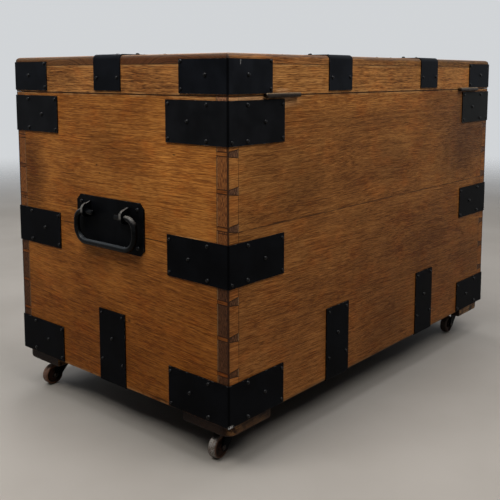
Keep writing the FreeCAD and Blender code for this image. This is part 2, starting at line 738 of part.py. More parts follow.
def bail(label):
    """A round bar: a stub on the pivot, a shoulder, an arm and half the foot, then all of it mirrored."""
    rod = new_body(label)
    radius = "sizes.bail_rod_radius"
    shoulder, foot = "sizes.bail_shoulder_radius", "sizes.bail_foot_radius"
    shoulder_start = f"(sizes.bail_reach - {shoulder})"
    foot_end = f"(sizes.bail_reach - {foot})"
    stub = circle(sketch_on(rod, "YZ_Plane", "sizes.bail_end"), "0", "0", radius)
    features = [pad(rod, stub, f"{shoulder_start} - sizes.bail_end")]
    features.append(bend(rod, shoulder_start, "0", shoulder, upward=False))
    arm = circle(sketch_on(rod, "XY_Plane", f"-{shoulder}"), "sizes.bail_reach", "0", radius)
    features.append(pad(rod, arm, f"sizes.bail_drop - {shoulder} - {foot}", reverse=True))
    features.append(bend(rod, foot_end, "-sizes.bail_drop", foot, upward=True))
    grip = circle(sketch_on(rod, "YZ_Plane"), "0", "-sizes.bail_drop", radius)
    features.append(pad(rod, grip, foot_end))
    mirror = rod.newObject("PartDesign::Mirrored", "mirror")
    mirror.Originals = features
    mirror.MirrorPlane = (origin_feature(rod, "YZ_Plane"), [""])
    rod.Tip = mirror
    doc.recompute()
    end = number("sizes.bail_end")
    ease_edges(
        rod,
        "Chamfer",
        lambda edge: len(edge.Vertexes) == 1 and abs(abs(edge.CenterOfMass.x) - end) < 1e-3,
        "sizes.bail_end_chamfer",
    )
    return keep(rod, label)


HANDLE_LEVEL = f"({UNDERSIDE} + sizes.handle_height)"
for side, sign, turn in (("right", "", RIGHT), ("left", "-", LEFT)):
    plate = handle_plate(f"handle_plate_{side}")
    place(plate, x=f"{sign}{HALF_LENGTH}", z=HANDLE_LEVEL, turn=turn)
    handle = bail(f"handle_bail_{side}")
    pivot_x = f"{sign}({HALF_LENGTH} + sizes.bail_stand_off)"
    place(handle, x=pivot_x, z=f"{HANDLE_LEVEL} + sizes.bail_pivot_rise", turn=turn)

# ---- Casters -----------------------------------------------------------------------------------
# A block under each corner carries a swivel plate with its kingpin, a fork that trails to one side,
# and a wheel on a riveted axle. Local origin is the swivel axis at floor level, trailing to local +X.

REST_ANGLES = {"back_right": 5.0, "back_left": 3.0, "front_left": -2.0, "front_right": -3.0}
SWIVEL_X = f"({HALF_LENGTH} - sizes.swivel_inset)"
SWIVEL_Y = f"({HALF_DEPTH} - sizes.swivel_inset)"
BLOCK_X = f"({HALF_LENGTH} - sizes.block_inset - sizes.block_side / 2)"
BLOCK_Y = f"({HALF_DEPTH} - sizes.block_inset - sizes.block_side / 2)"
RACE_FOOT = f"({PLATE_FOOT} - sizes.race_depth)"
CROWN_TOP = f"({RACE_FOOT} - sizes.swivel_play)"
CROWN_FOOT = f"({CROWN_TOP} - sizes.crown_thickness)"
HALF_SLOT = "(sizes.hub_width / 2 + sizes.wheel_side_gap)"
HALF_FORK = f"({HALF_SLOT} + sizes.cheek_thickness)"


def caster_block(label):
    """A square of oak with its outer corner and its lower edges rounded; outer corner at local +X +Y."""
    block = new_body(label)
    half = "sizes.block_side / 2"
    outline(sketch_on(block, "XY_Plane"), [
        (f"-{half}", f"-{half}"),
        (half, f"-{half}"),
        (half, half, "sizes.block_corner_radius"),
        (f"-{half}", half),
    ])
    pad(block, block.Group[0], "sizes.block_thickness")
    ease_edges(
        block,
        "Fillet",
        lambda edge: edge.BoundBox.ZMax < 1e-6,
        "sizes.block_edge_radius",
    )
    return keep(block, label)


def caster_plate(label):
    plate = new_body(label)
    half = "sizes.caster_plate_side / 2"
    corner = "sizes.caster_plate_corner"
    square = sketch_on(plate, "XY_Plane", PLATE_FOOT)
    outline(square, [
        (f"-{half}", f"-{half}", corner),
        (half, f"-{half}", corner),
        (half, half, corner),
        (f"-{half}", half, corner),
    ])
    pad(plate, square, "sizes.caster_plate_thickness")
    rooted = f"({PLATE_FOOT} + sizes.caster_plate_thickness / 2)"
    head_top = f"({CROWN_FOOT} - sizes.swivel_play)"
    head_foot = f"({head_top} - sizes.kingpin_head_height)"
    kingpin = sketch_on(plate, "XZ_Plane")
    outline(kingpin, [
        ("0", rooted),
        ("sizes.race_radius", rooted),
        ("sizes.race_radius", RACE_FOOT),
        ("sizes.kingpin_radius", RACE_FOOT),
        ("sizes.kingpin_radius", head_top),
        ("sizes.kingpin_head_radius", head_top),
        ("sizes.kingpin_head_radius - sizes.kingpin_head_chamfer", head_foot),
        ("0", head_foot),
    ])
    revolve(plate, kingpin)
    return plate


def caster_fork(label):
    fork = new_body(label)
    boss = "sizes.horn_boss_radius"
    end = "sizes.horn_round_radius"
    foot = f"sizes.wheel_radius - {boss}"
    horn = sketch_on(fork, "XZ_Plane")
    outline(horn, [
        ("-sizes.crown_reach", CROWN_TOP),
        ("sizes.crown_reach", CROWN_TOP),
        (f"sizes.trail + {boss}", foot, end),
        (f"sizes.trail - {boss}", foot, end),
        ("-sizes.crown_reach", CROWN_FOOT),
    ])
    pad(fork, horn, f"{HALF_FORK} * 2", both_ways=True)
    slot = sketch_on(fork, "YZ_Plane")
    rectangle(slot, f"-{HALF_SLOT}", "0", HALF_SLOT, CROWN_FOOT)
    pocket(fork, slot)
    kingpin_hole = sketch_on(fork, "XY_Plane")
    circle(kingpin_hole, "0", "0", "sizes.kingpin_radius + sizes.kingpin_play")
    pocket(fork, kingpin_hole)
    axle_hole = sketch_on(fork, "XZ_Plane")
    circle(axle_hole, "sizes.trail", "sizes.wheel_radius", "sizes.axle_radius + sizes.axle_grip_play")
    pocket(fork, axle_hole)
    return keep(fork, label)


def caster_wheel(label):
    """A cast wheel with dished sides, turned about local Y."""
    wheel = new_body(label)
    bore = "(sizes.axle_radius + sizes.axle_play)"
    half_hub = "(sizes.hub_width / 2)"
    half_rim = "(sizes.wheel_width / 2)"
    web = "(sizes.wheel_width / 2 - sizes.dish_depth)"
    side = [
        (bore, half_hub),
        ("sizes.hub_radius", half_hub),
        ("sizes.hub_radius + sizes.dish_slope", web),
        ("sizes.wheel_radius - sizes.rim_depth - sizes.dish_slope", web),
        ("sizes.wheel_radius - sizes.rim_depth", half_rim),
        ("sizes.wheel_radius - sizes.tread_chamfer", half_rim),
        ("sizes.wheel_radius", f"({half_rim} - sizes.tread_chamfer)"),
    ]
    other = [(x, f"-{y}") for x, y in reversed(side)]
    outline(sketch_on(wheel, "XY_Plane"), side + other)
    revolve(wheel, wheel.Group[0])
    return keep(wheel, label)


def caster_axle(label):
    axle = new_body(label)
    shoulder = f"({HALF_FORK} + sizes.axle_end_play)"
    end = f"({shoulder} + sizes.axle_head_height)"
    shank = "sizes.axle_radius"
    head = "sizes.axle_head_radius"
    outline(sketch_on(axle, "XY_Plane"), [
        ("0", f"-{end}"),
        (shank, f"-{end}"),
        (head, f"-{shoulder}"),
        (shank, f"-{shoulder}"),
        (shank, shoulder),
        (head, shoulder),
        (shank, end),
        ("0", end),
    ])
    revolve(axle, axle.Group[0])
    return keep(axle, label)


caster_plates = []
for corner, (x_side, y_side, turn) in CORNERS.items():
    block = caster_block(f"caster_block_{corner}")
    place(block, x=f"{x_side}{BLOCK_X}", y=f"{y_side}{BLOCK_Y}", z=BLOCK_FOOT, turn=turn)
    swivel = {"x": f"{x_side}{SWIVEL_X}", "y": f"{y_side}{SWIVEL_Y}"}
    caster_plates.append(caster_plate(f"caster_plate_{corner}"))
    place(caster_plates[-1], **swivel)
    angle = REST_ANGLES[corner]
    fork = caster_fork(f"caster_fork_{corner}")
    place(fork, turn=angle, **swivel)
    hub = {
        "x": f"{swivel['x']} + sizes.trail * {math.cos(math.radians(angle))}",
        "y": f"{swivel['y']} + sizes.trail * {math.sin(math.radians(angle))}",
        "z": "sizes.wheel_radius",
    }
    place(caster_wheel(f"caster_wheel_{corner}"), turn=angle, **hub)
    place(caster_axle(f"caster_axle_{corner}"), turn=angle, **hub)
group("caster_plates", caster_plates)

# ---- Lock --------------------------------------------------------------------------------------
# A case let into the top of the front board holds a sliding bolt with two hooks. They pass through the
# eyes of two staples on the lid's link plate. Local origin is the rim, on the front board's outer face.

CASE_BACK = "-sizes.board_thickness"
CASE_FRONT = "(-sizes.board_thickness + sizes.lock_depth)"
HALF_LOCK = "(sizes.lock_width / 2)"
STAPLE_X = "(sizes.staple_spacing / 2)"
BAR_TOP = "(-sizes.staple_drop - sizes.bolt_below_staples)"
BAR_FOOT = f"({BAR_TOP} - sizes.bolt_height)"
HOOK_TOP = "(-sizes.hook_depth)"
HOOK_FOOT = "(-sizes.hook_depth - sizes.hook_height)"

lock_case = new_body("lock_case")
block_face = sketch_on(lock_case, "XZ_Plane", "sizes.board_thickness")
rectangle(block_face, f"-{HALF_LOCK}", "-sizes.lock_height", HALF_LOCK, "0")
pad(lock_case, block_face, "sizes.lock_depth", reverse=True)
hollow = sketch_on(lock_case, "XZ_Plane", f"-{CASE_FRONT}")
rectangle(
    hollow,
    f"-{HALF_LOCK} + sizes.lock_wall",
    "-sizes.lock_height + sizes.lock_wall",
    f"{HALF_LOCK} - sizes.lock_wall",
    "-sizes.lock_plate",
)
pocket(lock_case, hollow, "sizes.lock_depth - sizes.lock_wall", reverse=True)
for side in ("-", ""):
    slot = sketch_on(lock_case, "XY_Plane")
    slot_middle = f"{side}{STAPLE_X}"
    rectangle(
        slot,
        f"{slot_middle} - sizes.staple_thickness / 2 - sizes.staple_play",
        f"{LINK_MIDDLE} - sizes.staple_width / 2 - sizes.staple_play",
        f"{slot_middle} + sizes.staple_thickness / 2 + sizes.staple_play",
        f"{LINK_MIDDLE} + sizes.staple_width / 2 + sizes.staple_play",
    )
    pocket(lock_case, slot, "sizes.lock_plate + sizes.lock_play")
ledge = sketch_on(lock_case, "XZ_Plane", "sizes.board_thickness - sizes.lock_wall / 2")
ledge_top = f"({BAR_FOOT} - sizes.lock_play)"
ledge_end = f"{HALF_LOCK} - sizes.lock_ledge"
rectangle(ledge, f"-({ledge_end})", f"{ledge_top} - sizes.lock_ledge", ledge_end, ledge_top)
pad(lock_case, ledge, "sizes.lock_depth - sizes.lock_wall", reverse=True)
key_post = sketch_on(lock_case, "XZ_Plane", "sizes.board_thickness - sizes.lock_wall / 2")
circle(key_post, "0", KEYHOLE_LEVEL, "sizes.key_post_radius")
pad(lock_case, key_post, "sizes.lock_depth - sizes.lock_wall", reverse=True)
place(keep(lock_case, "lock_case"), y=f"-{HALF_DEPTH}", z=RIM, turn=FRONT)

# The bolt lies on the ledge, hooks towards local +X, drawn back clear of the staples.
lock_bolt = new_body("lock_bolt")
bolt_outline = []
for side in ("", "-"):
    tip = f"({side}{STAPLE_X} - sizes.staple_thickness / 2 - sizes.hook_stand_off)"
    bolt_outline += [
        (f"{tip} - sizes.hook_reach", BAR_TOP),
        (f"{tip} - sizes.hook_reach", HOOK_FOOT),
        (tip, HOOK_FOOT),
        (tip, HOOK_TOP),
        (f"{tip} - sizes.hook_reach - sizes.hook_width", HOOK_TOP),
        (f"{tip} - sizes.hook_reach - sizes.hook_width", BAR_TOP),
    ]
right_end = f"{STAPLE_X} - sizes.staple_thickness / 2 - sizes.hook_stand_off + sizes.bolt_tail"
bolt_outline[-1] = (bolt_outline[-1][0], BAR_FOOT)
bolt_outline += [(right_end, BAR_FOOT), (right_end, BAR_TOP)]
bolt_side = outline(sketch_on(lock_bolt, "XZ_Plane", f"-{LINK_MIDDLE}"), bolt_outline)
pad(lock_bolt, bolt_side, "sizes.bolt_thickness", both_ways=True)
talon = sketch_on(lock_bolt, "XZ_Plane")
circle(talon, "0", BAR_FOOT, "sizes.talon_radius")
pocket(lock_bolt, talon)
place(keep(lock_bolt, "lock_bolt"), y=f"-{HALF_DEPTH}", z=RIM, turn=FRONT)

link_plate = new_body("link_plate")
link_outline = sketch_on(link_plate, "XY_Plane")
rectangle(
    link_outline,
    "-sizes.link_plate_length / 2",
    f"{LINK_MIDDLE} - sizes.link_plate_width / 2",
    "sizes.link_plate_length / 2",
    f"{LINK_MIDDLE} + sizes.link_plate_width / 2",
)
pad(link_plate, link_outline, "sizes.link_plate_thickness")
for side in ("-", ""):
    staple = sketch_on(link_plate, "YZ_Plane", f"{side}{STAPLE_X}")
    rectangle(
        staple,
        f"{LINK_MIDDLE} - sizes.staple_width / 2",
        "-sizes.staple_drop - sizes.seam_gap",
        f"{LINK_MIDDLE} + sizes.staple_width / 2",
        "sizes.link_plate_thickness / 2",
    )
    pad(link_plate, staple, "sizes.staple_thickness", both_ways=True)
staple_eye = sketch_on(link_plate, "YZ_Plane")
rectangle(
    staple_eye,
    f"{LINK_MIDDLE} - sizes.bolt_thickness / 2 - sizes.eye_play",
    f"{HOOK_FOOT} - sizes.eye_play - sizes.seam_gap",
    f"{LINK_MIDDLE} + sizes.bolt_thickness / 2 + sizes.eye_play",
    f"{HOOK_TOP} + sizes.eye_play - sizes.seam_gap",
)
pocket(link_plate, staple_eye)
place(keep(link_plate, "link_plate"), y=f"-{HALF_DEPTH}", z=LID_FOOT, turn=FRONT)

escutcheon = new_body("escutcheon")
half_width = "(sizes.escutcheon_width / 2)"
half_height = "(sizes.escutcheon_height / 2)"
oval_level = f"({KEYHOLE_LEVEL} - sizes.escutcheon_drop)"
round_corner = "sizes.escutcheon_corner"
oval = sketch_on(escutcheon, "XZ_Plane")
outline(oval, [
    (f"-{half_width}", f"{oval_level} - {half_height}", round_corner),
    (half_width, f"{oval_level} - {half_height}", round_corner),
    (half_width, f"{oval_level} + {half_height}", round_corner),
    (f"-{half_width}", f"{oval_level} + {half_height}", round_corner),
])
pad(escutcheon, oval, "sizes.escutcheon_thickness", reverse=True)
cut_keyhole(escutcheon, KEYHOLE_LEVEL)
place(keep(escutcheon, "escutcheon"), y=f"-{HALF_DEPTH}", z=RIM, turn=FRONT)

# ---- Checks and files --------------------------------------------------------------------------

doc.recompute()
for thing in doc.Objects:
    if {"Invalid", "Error"} & set(thing.State):
        raise RuntimeError(f"{thing.Name} failed: {thing.State}")
for piece in subparts:
    if piece.Shape.isNull() or not piece.Shape.isValid():
        raise RuntimeError(f"{piece.Label} has no valid shape")

os.makedirs("parts", exist_ok=True)
for piece in subparts:
    piece.Shape.exportStep(os.path.join("parts", f"{piece.Label}.step"))
print(f"{len(subparts)} sub-parts written")
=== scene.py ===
import math
import random

import bmesh
import bpy
from mathutils import Matrix, Vector


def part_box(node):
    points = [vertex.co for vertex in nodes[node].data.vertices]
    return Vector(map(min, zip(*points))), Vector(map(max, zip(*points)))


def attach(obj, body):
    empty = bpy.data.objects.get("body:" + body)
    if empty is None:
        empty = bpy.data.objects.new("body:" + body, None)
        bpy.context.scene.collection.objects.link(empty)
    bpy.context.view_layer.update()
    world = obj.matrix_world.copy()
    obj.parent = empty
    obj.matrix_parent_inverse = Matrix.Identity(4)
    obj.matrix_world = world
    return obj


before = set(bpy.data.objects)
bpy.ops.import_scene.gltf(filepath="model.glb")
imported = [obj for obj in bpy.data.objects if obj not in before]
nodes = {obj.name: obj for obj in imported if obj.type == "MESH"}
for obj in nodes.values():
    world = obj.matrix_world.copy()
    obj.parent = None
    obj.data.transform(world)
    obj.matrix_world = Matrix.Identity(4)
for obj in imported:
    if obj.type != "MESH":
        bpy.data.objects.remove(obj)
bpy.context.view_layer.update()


# ---- Where the chest stands ----------------------
# The chest stands on a plain pale floor that melts into the light round it. The viewpoint is off its
# back right corner, just under the top of the lid. The lamps are big, soft and high, so the walls
# darken towards the floor and the shadow under the chest is deep.

SIGHT_PLACE = (1.1524, 0.9340, 0.5579)
SIGHT_YAW = math.radians(40.915)
SIGHT_PITCH = math.radians(6.778)
SIGHT_LENS = 54.54
SIGHT_DROP = -0.17

scene = bpy.context.scene
sight = bpy.data.objects.new("sight", bpy.data.cameras.new("sight"))
sight.data.lens = SIGHT_LENS
sight.data.shift_y = SIGHT_DROP
sight.data.clip_start = 0.02
sight.data.clip_end = 60.0
sight.location = SIGHT_PLACE
sight_line = Vector((
    -math.cos(SIGHT_YAW) * math.cos(SIGHT_PITCH),
    -math.sin(SIGHT_YAW) * math.cos(SIGHT_PITCH),
    -math.sin(SIGHT_PITCH),
))
sight.rotation_euler = sight_line.to_track_quat("-Z", "Y").to_euler()
scene.collection.objects.link(sight)
scene.camera = sight
scene.view_settings.view_transform = "Standard"

LAMP_AIM = Vector((0, 0, 0.25))
LAMPS = (
    # name, place, size, watts, colour
    ("end_lamp", (1.45, -0.20, 2.05), 0.9, 33.0, (1.0, 0.98, 0.94)),
    ("back_lamp", (0.05, 1.45, 2.05), 1.0, 29.5, (1.0, 0.985, 0.96)),
    ("skylight", (0.25, 0.15, 2.45), 1.3, 48.0, (1.0, 1.0, 1.0)),
    ("front_lamp", (-1.30, -1.60, 1.90), 1.3, 28.0, (1.0, 0.99, 0.98)),
)
for name, place, size, watts, colour in LAMPS:
    lamp = bpy.data.objects.new(name, bpy.data.lights.new(name, "AREA"))
    lamp.data.shape = "SQUARE"
    lamp.data.size = size
    lamp.data.energy = watts
    lamp.data.color = colour
    lamp.location = place
    lamp.rotation_euler = (LAMP_AIM - Vector(place)).to_track_quat("-Z", "Y").to_euler()
    scene.collection.objects.link(lamp)


def feed(socket, value):
    """Fills one input with a link or a value. A colour is written without its alpha of 1."""
    if isinstance(value, bpy.types.NodeSocket):
        socket.id_data.links.new(value, socket)
    else:
        socket.default_value = (*value, 1) if socket.type == "RGBA" else value


def tree_of(values):
    """The node tree of the first link among some values."""
    return next(value.id_data for value in values if isinstance(value, bpy.types.NodeSocket))


def shade(kind, inputs=(), out=0, tree=None, **settings):
    """Places one shader node, fills its inputs with values or links, and gives back one output."""
    pairs = dict(inputs if isinstance(inputs, dict) else enumerate(inputs))
    made = (tree or tree_of(pairs.values())).nodes.new("ShaderNode" + kind)
    for name, value in settings.items():
        setattr(made, name, value)
    for key, value in pairs.items():
        feed(made.inputs[key], value)
    return made.outputs[out]


def calc(operation, *values, clamp=False):
    """One sum on numbers."""
    return shade("Math", values, operation=operation, use_clamp=clamp)


def vector(operation, *values, out=0):
    """One sum on vectors."""
    return shade("VectorMath", values, out, operation=operation)


def ramp(value, low, high, start=0.0, end=1.0):
    """A smooth step from start to end as the value goes from low to high."""
    return shade("MapRange", (value, low, high, start, end), interpolation_type="SMOOTHSTEP")


def tint(amount, under, over, way="MIX"):
    """Lays one colour over another by an amount from 0 to 1."""
    return shade("Mix", {0: amount, 6: under, 7: over}, out=2, data_type="RGBA", blend_type=way)


def noise(place, scale, detail=2.0, rough=0.5):
    """Cloudy noise from 0 to 1, with a scale in lumps to the metre."""
    return shade("TexNoise", {"Vector": place, "Scale": scale, "Detail": detail, "Roughness": rough})


def to_output(shader):
    """Links a shader to the output of its material or world."""
    tree = shader.id_data
    out = [n for n in tree.nodes if n.bl_idname in ("ShaderNodeOutputMaterial", "ShaderNodeOutputWorld")]
    tree.links.new(shader, out[0].inputs["Surface"])


def new_material(name):
    """An empty node material, with the place and the normal of a point on the piece that wears it."""
    made = bpy.data.materials.new(name)
    made.use_nodes = True
    made.node_tree.nodes.clear()
    made.node_tree.nodes.new("ShaderNodeOutputMaterial")
    coords = made.node_tree.nodes.new("ShaderNodeTexCoord")
    return made, coords.outputs["Object"], coords.outputs["Normal"]


sky = bpy.data.worlds.new("soft_room")
scene.world = sky
sky.use_nodes = True
sky.node_tree.nodes.clear()
sky.node_tree.nodes.new("ShaderNodeOutputWorld")
ray = shade("LightPath", tree=sky.node_tree).node.outputs
seen = calc("MAXIMUM", ray["Is Camera Ray"], ray["Is Glossy Ray"])
seen = calc("MAXIMUM", seen, ray["Is Transmission Ray"])
room_light = shade("Background", ((0.012, 0.012, 0.013), 1.0), tree=sky.node_tree)
room_wall = shade("Background", ((0.64, 0.66, 0.68), 1.0), tree=sky.node_tree)
to_output(shade("MixShader", (seen, room_light, room_wall)))

FLOOR_HALF = 6.0
FLOOR_CLEAR = (1.7, 4.2)
bm = bmesh.new()
bmesh.ops.create_grid(bm, x_segments=8, y_segments=8, size=FLOOR_HALF)
floor = bpy.data.objects.new("floor", bpy.data.meshes.new("floor"))
bm.to_mesh(floor.data)
bm.free()
scene.collection.objects.link(floor)

pale_floor, ground, _ = new_material("pale_floor")
pale = tint(ramp(noise(ground, 2.4, 4.0), 0.3, 0.7), (0.232, 0.214, 0.193), (0.272, 0.252, 0.230))
board = shade("BsdfPrincipled", {"Base Color": pale, "Roughness": 0.62, "Specular IOR Level": 0.25})
clear = shade("BsdfTransparent", tree=pale_floor.node_tree)
gone = ramp(vector("LENGTH", ground, out=1), *FLOOR_CLEAR)
to_output(shade("MixShader", (gone, board, clear)))
floor.data.materials.append(pale_floor)


# ---- Walls of the body ---------------------------
# Four boards of stained and waxed oak, each glued up from two planks, through-dovetailed at the
# corners: the front and back carry the tails and the ends carry the pins. The stain is uneven, painted
# shade darkens the walls towards the foot and where the light falls off, the joints show as dark lines,
# and the faces inside the chest were left almost bare.

HALF_LENGTH = 0.410
HALF_DEPTH = 0.2515
BOARD = 0.021
BODY_FOOT = 0.065
BODY_RIM = 0.5291
LID_FOOT = 0.5295
RAIL_TOP = 0.5736
LID_TOP = 0.5876
BODY_PINS = 9
BODY_PITCH = (BODY_RIM - BODY_FOOT) / BODY_PINS
LID_PITCH = RAIL_TOP - LID_FOOT
PLANK_JOINT = {"X": 0.3427, "Y": 0.3140}
PLANK_SHIFT = 3.7
PIN_SLOPE = 0.131


def fade(value, low, high):
    """A smooth step down from 1 to 0 as the value goes from low to high."""
    return ramp(value, low, high, 1.0, 0.0)


def times(*values):
    """The product of some numbers."""
    product = values[0]
    for value in values[1:]:
        product = calc("MULTIPLY", product, value)
    return product


def less(value, taken):
    """One number less another."""
    return calc("SUBTRACT", value, taken)


def most(*values):
    """The largest of some numbers."""
    largest = values[0]
    for value in values[1:]:
        largest = calc("MAXIMUM", largest, value)
    return largest


def size_of(value):
    """A number without its sign."""
    return calc("ABSOLUTE", value)


def linear(value, slope, start):
    """A straight line: the value times a slope, plus a start."""
    return calc("MULTIPLY_ADD", value, slope, start)


def stain(amount, under, over):
    """Multiplies a colour by another, by an amount from 0 to 1."""
    return tint(amount, under, over, "MULTIPLY")


def split(parts):
    """The three parts of a vector."""
    return tuple(shade("SeparateXYZ", (parts,)).node.outputs)


def unsigned(parts):
    """The three parts of a vector, without their signs."""
    return split(vector("ABSOLUTE", parts))


def join(*parts):
    """A vector from its three parts."""
    return shade("CombineXYZ", parts)


def surface(colour, rough, height, strength=0.5, depth=0.0004, gloss=0.06, metal=0.0):
    """Ends a material: colour, roughness, a fine relief of some strength and depth, gloss and metal."""
    bump = shade("Bump", {"Strength": strength, "Distance": depth, "Height": height})
    to_output(shade("BsdfPrincipled", {"Base Color": colour, "Roughness": rough, "Metallic": metal,
                                       "Normal": bump, "Specular IOR Level": gloss}))


def new_group(name, inputs, outputs):
    """A shader node group on a place, with named sockets. Every output but Colour is a number. Gives its
    inputs by name, and its output node."""
    tree = bpy.data.node_groups.new(name, "ShaderNodeTree")
    kinds = {"float": "NodeSocketFloat", "vector": "NodeSocketVector", "colour": "NodeSocketColor"}
    for label, kind, value in (("Place", "vector", (0, 0, 0)), *inputs):
        socket = tree.interface.new_socket(label, in_out="INPUT", socket_type=kinds[kind])
        socket.default_value = (*value, 1) if kind == "colour" else value
    for label in outputs:
        kind = kinds["colour" if label == "Colour" else "float"]
        tree.interface.new_socket(label, in_out="OUTPUT", socket_type=kind)
    start = tree.nodes.new("NodeGroupInput")
    return {s.name: s for s in start.outputs if s.name}, tree.nodes.new("NodeGroupOutput")


def give(out, *values):
    """Links a group's results to its output node, and gives back the group."""
    for socket, value in zip(out.inputs, values):
        feed(socket, value)
    return out.id_data


def use_group(group, **inputs):
    """Places a node group and gives back its outputs by name."""
    made = tree_of(inputs.values()).nodes.new("ShaderNodeGroup")
    made.node_tree = group
    for label, value in inputs.items():
        feed(made.inputs[label.replace("_", " ")], value)
    return {s.name: s for s in made.outputs}


def edge_group():
    """How far a point on a box-shaped piece is from the nearest arris of the box, in metres."""
    given, out = new_group(
        "arris_distance", [("Low", "vector", (0, 0, 0)), ("High", "vector", (1, 1, 1))], ["Distance"])
    below = split(vector("SUBTRACT", given["Place"], given["Low"]))
    above = split(vector("SUBTRACT", given["High"], given["Place"]))
    a, b, c = [calc("MINIMUM", low, high) for low, high in zip(below, above)]
    return give(out, most(calc("MINIMUM", a, b), calc("MINIMUM", most(a, b), c)))


def spot_group():
    """A soft oval patch on a face, for uneven stain, knots and dents."""
    given, out = new_group(
        "soft_spot", [("Centre", "vector", (0, 0, 0)), ("Reach", "vector", (1, 1, 1))], ["Mask"])
    off = vector("DIVIDE", vector("SUBTRACT", given["Place"], given["Centre"]), given["Reach"])
    return give(out, fade(vector("LENGTH", off, out=1), 0.15, 1.0))


def joint_group():
    """The fine dark lines round the dovetails at the four corners."""
    given, out = new_group(
        "dovetail_lines",
        [("Normal", "vector", (0, 0, 1)), ("Foot", "float", 0.0), ("Pitch", "float", 0.05),
         ("Half pin", "float", 0.003)],
        ["Line", "Arris"],
    )
    x, y, z = unsigned(given["Place"])
    on_back = calc("GREATER_THAN", unsigned(given["Normal"])[1], 0.7)
    turn = calc("FLOORED_MODULO", less(z, given["Foot"]), given["Pitch"])
    rise = size_of(less(turn, calc("DIVIDE", given["Pitch"], 2.0)))
    deep = less(HALF_LENGTH, x)
    wide = linear(deep, PIN_SLOPE, given["Half pin"])
    pin = calc("MINIMUM", less(wide, rise), less(BOARD, deep))
    tail = calc("MINIMUM", less(rise, given["Half pin"]), less(y, HALF_DEPTH - BOARD))
    both = calc("ADD", times(pin, on_back), times(tail, less(1.0, on_back)))
    corner = most(deep, less(HALF_DEPTH, y))
    return give(out, fade(size_of(both), 0.0003, 0.0012), fade(corner, 0.0010, 0.0034))


def oak_group():
    """Plain-sawn oak from a log that lies along X: growth rings, fibre, open pores and uneven stain."""
    given, out = new_group(
        "oak_figure",
        [("Heart", "vector", (0, 0, 0)), ("Drift", "float", 0.008),
         ("Light", "colour", (0.3, 0.15, 0.05)), ("Middle", "colour", (0.2, 0.09, 0.03)),
         ("Dark", "colour", (0.1, 0.04, 0.02)), ("Pore", "colour", (0.03, 0.012, 0.006)),
         ("Cloud", "float", 1.0)],
        ["Colour", "Roughness", "Height", "Rings"],
    )

    def streaks(place, along, across, detail, rough=0.55):
        return noise(vector("MULTIPLY", place, (along, across, across)), 1.0, detail, rough)

    slow = vector("MULTIPLY", given["Place"], (2.6, 7.0, 7.0))
    sway = noise(slow, 1.0).node.outputs["Color"]
    sway = vector("SUBTRACT", sway, (0.5, 0.5, 0.5))
    sway = shade("VectorMath", {0: sway, "Scale": given["Drift"]}, operation="SCALE")
    place = vector("ADD", given["Place"], sway)
    _, y, z = split(vector("SUBTRACT", place, given["Heart"]))
    radius = vector("LENGTH", join(0.0, y, z), out=1)
    rings = shade("TexNoise", {"W": times(radius, 420.0), "Scale": 1.0, "Detail": 2.0, "Roughness": 0.6},
                  noise_dimensions="1D")
    rings = ramp(rings, 0.3, 0.7)
    fibre = ramp(streaks(place, 26.0, 1250.0, 2.0, 0.6), 0.34, 0.66)
    hair = ramp(streaks(place, 75.0, 1500.0, 1.0), 0.36, 0.64)
    long_fibre = ramp(streaks(place, 8.0, 400.0, 3.0), 0.3, 0.7)
    pores = ramp(streaks(place, 20.0, 1200.0, 2.0), 0.56, 0.68)
    cloud = ramp(streaks(given["Place"], 9.0, 14.0, 3.0, 0.5), 0.32, 0.68)
    warm = ramp(streaks(given["Place"], 22.0, 34.0, 3.0, 0.6), 0.46, 0.72)

    tone = 0.5
    for figure, share in ((rings, 0.20), (fibre, 0.58), (hair, 0.50), (long_fibre, 0.22)):
        tone = linear(less(figure, 0.5), share, tone)
    patch = times(less(cloud, 0.5), given["Cloud"])
    tone = calc("MULTIPLY_ADD", patch, 0.34, tone, clamp=True)
    colour = tint(ramp(tone, 0.05, 0.5), given["Dark"], given["Middle"])
    colour = tint(ramp(tone, 0.5, 0.95), colour, given["Light"])
    colour = stain(times(warm, 0.75), colour, (1.08, 0.90, 0.74))
    colour = tint(times(pores, 0.55), colour, given["Pore"])
    rough = linear(pores, 0.16, linear(fibre, -0.08, 0.5))
    high = linear(pores, -0.8, linear(rings, 0.3, fibre))
    return give(out, colour, rough, high, rings)


arris_distance = edge_group()
soft_spot = spot_group()
dovetail_lines = joint_group()
oak_figure = oak_group()


def from_edge(place, low, high):
    """How far a place is from the nearest arris of a box."""
    return use_group(arris_distance, Place=place, Low=low, High=high)["Distance"]


def tones(light, middle, dark, pore):
    """The four colours of one oak, from its lightest fibre to its pores."""
    return dict(Light=light, Middle=middle, Dark=dark, Pore=pore)


# The ends' oak is about a third lighter than the long boards': partly the wood's own tone, partly painted
# light on the ends.
OAK_ENDS = tones((0.442, 0.178, 0.039), (0.288, 0.103, 0.020), (0.150, 0.048, 0.0095), (0.075, 0.026, 0.007))
OAK_LONG = tones((0.330, 0.142, 0.038), (0.215, 0.083, 0.020), (0.115, 0.040, 0.0095), (0.060, 0.022, 0.007))
GROOVE = (0.014, 0.005, 0.0025)
RUBBED_ARRIS = (0.52, 0.28, 0.105)
BARE_OAK = ((0.125, 0.068, 0.030), (0.290, 0.176, 0.086))
END_DRY = ((0.085, 0.026, 0.009), (0.270, 0.100, 0.028))
END_DAMP = {
    "X": ((0.018, 0.0075, 0.005), (0.088, 0.038, 0.018)),
    "Y": ((0.026, 0.012, 0.008), (0.150, 0.072, 0.038)),
}
DRY_LEVEL = (0.255, 0.340)
LOW_SHADE_LEVEL = (0.10, 0.44)
FOOT_LINE = {"X": (0.34, 0.30, 0.28), "Y": (0.62, 0.56, 0.50)}
JOINT_SHADE = {"X": (1.15, 1.12, 1.10), "Y": (0.66, 0.60, 0.66)}


